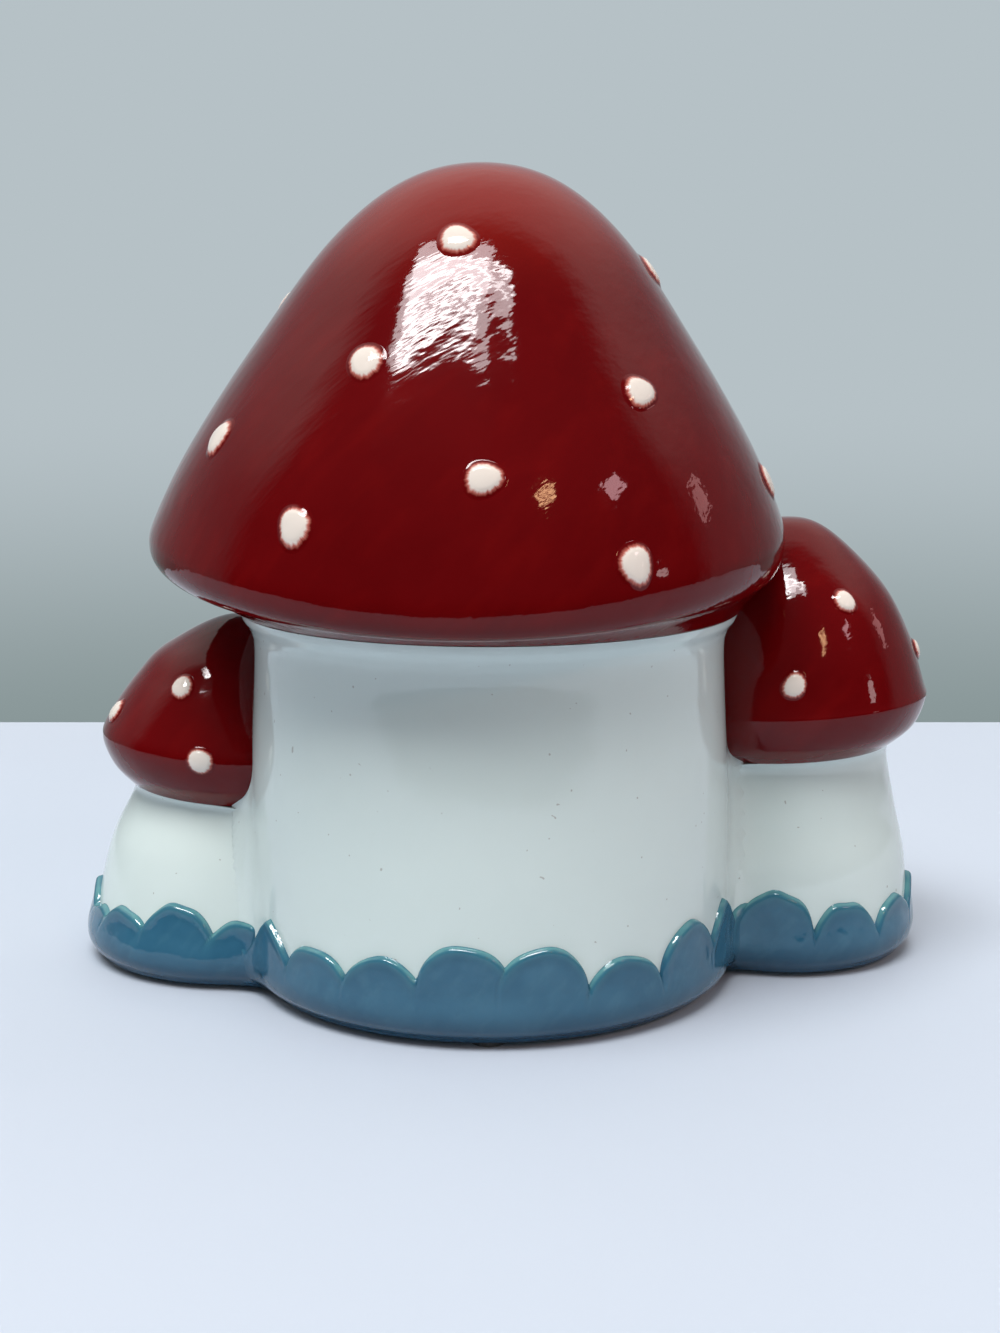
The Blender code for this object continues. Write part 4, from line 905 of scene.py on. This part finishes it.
FRAME_WIDTH = 1.9 * MM
FRAME_PROUD = 1.7 * MM
LEDGE = 1.8 * MM
LEDGE_DROP = 0.7 * MM     # the middle of the ledge lies this far below the opening
LEDGE_SIDE = 2.2 * MM     # and its ends go this far past it
BAR = 1.3 * MM
BAR_SHARE = 0.62          # the cross bar's height as a share of the straight side
RING_WIDTH = 1.7 * MM     # of the round windows
RING_RADIUS = ROUND_WINDOW + 0.8 * MM


def joined(name, pieces):
    """Join pieces into one."""
    pick(*pieces)
    bpy.ops.object.join()
    piece = bpy.context.object
    piece.name = piece.data.name = name
    return piece


for node, azimuth in WINDOW_TURNS.items():
    place = (STEM_AXIS, STEM_LINE, azimuth)
    half = WINDOW_WIDTH / 2
    outer = arch_line(half + FRAME_WIDTH / 2, WINDOW_SIDE, SILL, 24)
    ledge, cross = SILL - LEDGE_DROP, SILL + BAR_SHARE * WINDOW_SIDE
    bars = [
        moulding(outer, FRAME_WIDTH, FRAME_PROUD),
        moulding([(-half - LEDGE_SIDE, ledge), (half + LEDGE_SIDE, ledge)], LEDGE, LEDGE),
        moulding([(0, SILL), (0, SILL + WINDOW_SIDE + half)], BAR, BAR),
        moulding([(-half, cross), (half, cross)], BAR, BAR),
    ]
    made = [sheet_on_stem(f"{node}_bar", 48, 8, bar, place) for bar in bars]
    dress(joined(f"{node}_wood", made), BROWN, "brown_glaze", node)
for node, axis, line in (("short_window_frame", SHORT_AXIS, SHORT_LINE),
                         ("tall_window_frame", TALL_AXIS, TALL_LINE)):
    turns = [2 * pi * i / 48 for i in range(49)]
    circle = [(RING_RADIUS * sin(turn), ROUND_HEIGHT - RING_RADIUS * cos(turn))
              for turn in turns]
    made = sheet_on_stem(f"{node}_wood", 96, 10, moulding(circle, RING_WIDTH, RING_WIDTH),
                         (axis, line, -90))
    dress(made, BROWN, "brown_glaze", node)

KNOB_RADIUS = 1.55 * MM
knob_low, knob_high = (np.array(c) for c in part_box("door_knob"))
bpy.ops.object.select_all(action="DESELECT")
bpy.ops.mesh.primitive_uv_sphere_add(segments=32, ring_count=20, radius=KNOB_RADIUS,
                                     location=(knob_low + knob_high) / 2)
knob = bpy.context.object
knob.name = knob.data.name = "ball_knob"
bpy.ops.object.mode_set(mode="EDIT")
bpy.ops.mesh.select_all(action="SELECT")
bpy.ops.transform.resize(value=(1.0, 0.95, 1.0))
bpy.ops.object.mode_set(mode="OBJECT")
bpy.ops.object.transform_apply(location=True, rotation=True, scale=True)
smooth_edges(knob)
dress(knob, GOLD, "yellow_glaze", "door_knob")

STEP = [(0.0, 5.1), (9.0, 5.1), (12.2, 5.0), (13.4, 4.6), (13.9, 3.9), (14.0, 3.0), (13.8, 2.0),
        (13.3, 1.5), (0.0, 1.5)]
STEP_AXIS = (STEM_AXIS[0], -39.9 * MM)
STEP_SINK = 1.2 * MM      # the step reaches this far into the stem
step = turned("stone_step", [(r * MM, z * MM) for r, z in STEP], STEP_AXIS, 96)
carve(step, plug(STEP_SINK))
smooth_edges(step, 40)
dress(step, SAND, "stone_glaze", "door_step")


# Light unit, floor and feet. A moulded housing pushed through a rubber seal in the ceramic floor
# holds the board, the LED, the slide switch and three button cells under a screwed door. The
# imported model's own pieces stay and get their materials here.
def moulded(name, tone, roughness, grain=0.35 * MM, depth=0.03 * MM, **fixed):
    """Moulded plastic, rubber or foam with a fine grain."""
    mould = Recipe(name, **fixed)
    cell = mould.noise(grain, 3.0)
    paler = tuple(min(c * 1.12 + 0.004, 1.0) for c in tone[:3])
    mould.feed("Base Color", mould.mix(cell, tone, (*paler, 1.0)))
    mould.feed("Roughness", cell * 0.15 + (roughness - 0.07))
    return mould.bump(cell, depth).made


def metal(name, tone, roughness):
    """Nickel plate with faint brushing."""
    plate = Recipe(name, Metallic=1.0)
    brush = plate.noise(1.0, 3.0, plate.stretched((0.4, 3.5, 0.4)))
    plate.feed("Base Color", plate.mix(brush, tone, tuple(c * 0.86 for c in tone[:3]) + (1.0,)))
    plate.feed("Roughness", brush * 0.2 + (roughness - 0.1))
    return plate.bump(brush, 0.01 * MM).made


PLASTIC = moulded("white_plastic", colour(222, 222, 219), 0.42)
FROSTED = moulded("frosted_plastic", colour(236, 232, 222), 0.5, 0.2 * MM,
                  Transmission_Weight=0.35)
FITTINGS = {
    "white_plastic": PLASTIC,
    "frosted_plastic": FROSTED,
    "grey_rubber": moulded("grey_rubber", colour(82, 82, 82), 0.75, 0.5 * MM),
    "pad_foam": moulded("pad_foam", colour(74, 74, 74), 0.9, 0.3 * MM, 0.15 * MM),
    "steel": metal("steel", colour(200, 200, 196), 0.28),
    "board_lacquer": moulded("board_lacquer", colour(42, 104, 62), 0.35, 0.8 * MM),
    "black_plastic": moulded("black_plastic", colour(44, 44, 44), 0.45),
    "led_resin": moulded("led_resin", colour(238, 232, 196), 0.12, 2 * MM, 0.0,
                         Transmission_Weight=0.6),
    "white_glaze": WHITE,
}
replaced = {"main_stem", "short_stem", "tall_stem"}
for row in frame["record"]["subparts"]:
    node = frame["nodes"][row["node"]]
    if row["material_slot"] in FITTINGS and row["node"] not in replaced:
        node.data.materials.clear()
        node.data.materials.append(FITTINGS[row["material_slot"]])


# Table. A painted pale board with an eased edge, which ends behind the house.
TABLE_SIZE = (1.6, 0.544, 0.03)
TABLE_MIDDLE = (0, 0.048, -TABLE_SIZE[2] / 2)
bpy.ops.object.select_all(action="DESELECT")
bpy.ops.mesh.primitive_cube_add(size=1.0, location=TABLE_MIDDLE, scale=TABLE_SIZE)
table = bpy.context.object
table.name = "table"
bpy.ops.object.transform_apply(location=True, rotation=True, scale=True)
eased = table.modifiers.new("eased", "BEVEL")
eased.width = 3 * MM
eased.segments = 3
bpy.ops.object.modifier_apply(modifier=eased.name)
paint = Recipe("table_paint", Roughness=0.6, Specular_IOR_Level=0.25)
paint.feed("Base Color", paint.mix(paint.noise(0.12, 3.0), colour(186, 196, 209),
                                   colour(191, 201, 214)))
paint.bump(paint.noise(3 * MM, 3.0), 0.02 * MM)
table.data.materials.append(paint.made)


# Light and camera. Soft daylight from a panel high on the camera's side, small lamps, and a pale
# grey-green wall all round. What the glaze mirrors is that wall behind the house and a dimmer
# room in front. The camera looks at the back of the house.
room = Recipe("room", room=True)
bpy.context.scene.world = room.made
east, north, up = room.split()
wall = room.mix(room.between(up, -0.215, -0.05), colour(136, 150, 151), colour(182, 193, 198))
aside = room.add("ShaderNodeMath", {"operation": "ABSOLUTE"}, {0: east})
mirrored = room.mix(room.between(aside, 0.3, 0.8) * 0.55, wall, colour(60, 60, 60))
mirrored = room.mix(room.between(up, 0.35, 0.8), mirrored, colour(250, 246, 242))
dim = room.mix(room.between(up, 0.0, 0.9), colour(32, 30, 30), colour(88, 88, 88))
mirrored = room.mix(room.between(north, -0.16, 0.10), mirrored, dim)
looked_at = room.add("ShaderNodeLightPath", {}, {}, "Is Camera Ray")
room.feed("Color", room.mix(looked_at, mirrored, wall))

HOUSE_MIDDLE = 0.08       # height that the panels face


def panel(name, azimuth, elevation, distance, size, power, tint, roll=0, unseen=None):
    """A rectangular light facing the house. Its mirror image or cast light may be left out."""
    flat = distance * cos(radians(elevation))
    place = (flat * cos(radians(azimuth)), flat * sin(radians(azimuth)),
             HOUSE_MIDDLE + distance * sin(radians(elevation)))
    bpy.ops.object.light_add(type="AREA", location=place)
    light = bpy.context.object
    light.name = name
    light.data.shape = "RECTANGLE"
    light.data.size, light.data.size_y = size
    light.data.energy = power
    light.data.color = tint[:3]
    aim = Euler((0, 0, radians(roll))).to_matrix()
    aim.rotate(Euler((radians(90 - elevation), 0, radians(azimuth + 90))))
    light.rotation_euler = aim.to_euler()
    light.visible_glossy = unseen != "mirrored"
    light.visible_diffuse = unseen != "cast"


panel("skylight", 55.3, 72.4, 1.27, (0.73, 0.38), 12.0, colour(255, 250, 252), 21, "cast")
panel("skylight_side", 66, 72, 1.27, (1.0, 0.17), 7.4, colour(255, 250, 252), 13, "cast")
for height, power in ((64.9, 2.2), (67.6, 1.4)):
    panel("skylight_bar", 55.5, height, 1.25, (0.64, 0.03), power, colour(255, 255, 255), 21,
          "cast")
for height, power in ((72.2, 1.8), (75.8, 2.4)):
    panel("skylight_bar", 64, height, 1.25, (0.92, 0.03), power, colour(255, 255, 255), 13,
          "cast")
panel("daylight", 66, 64, 4.0, (2.8, 1.8), 178.0, colour(255, 255, 255), 0, "mirrored")
panel("room_light", 95, 22, 3.6, (3.6, 1.5), 13.0, colour(240, 248, 255), 0, "mirrored")
panel("left_glow", 8, 30, 3.0, (2.0, 1.6), 6.0, colour(255, 250, 246), 0, "mirrored")
panel("right_glow", 172, 30, 3.0, (2.0, 1.6), 9.0, colour(255, 250, 246), 0, "mirrored")
for height in (34, 36, 38):
    panel("warm_slat", 122, height, 2.6, (0.30, 0.045), 1.2, colour(255, 200, 150), 30)
panel("pink_lamp", 152, 33.5, 2.6, (0.34, 0.20), 2.4, colour(255, 205, 212), 20)
panel("side_lamp", 190, 21, 2.6, (0.34, 0.30), 1.2, colour(255, 190, 190), 10)
panel("low_lamp", 160, 13, 2.6, (0.20, 0.14), 0.7, colour(255, 225, 225))

EYE = (0.0011, 0.367, 0.122)
LOOKS_DOWN = 10.2
bpy.ops.object.camera_add(location=EYE, rotation=(radians(90 - LOOKS_DOWN), 0, radians(180)))
camera = bpy.context.object
camera.data.lens = 56.71
camera.data.clip_start = 0.01
bpy.context.scene.camera = camera
bpy.context.scene.view_settings.view_transform = "Standard"
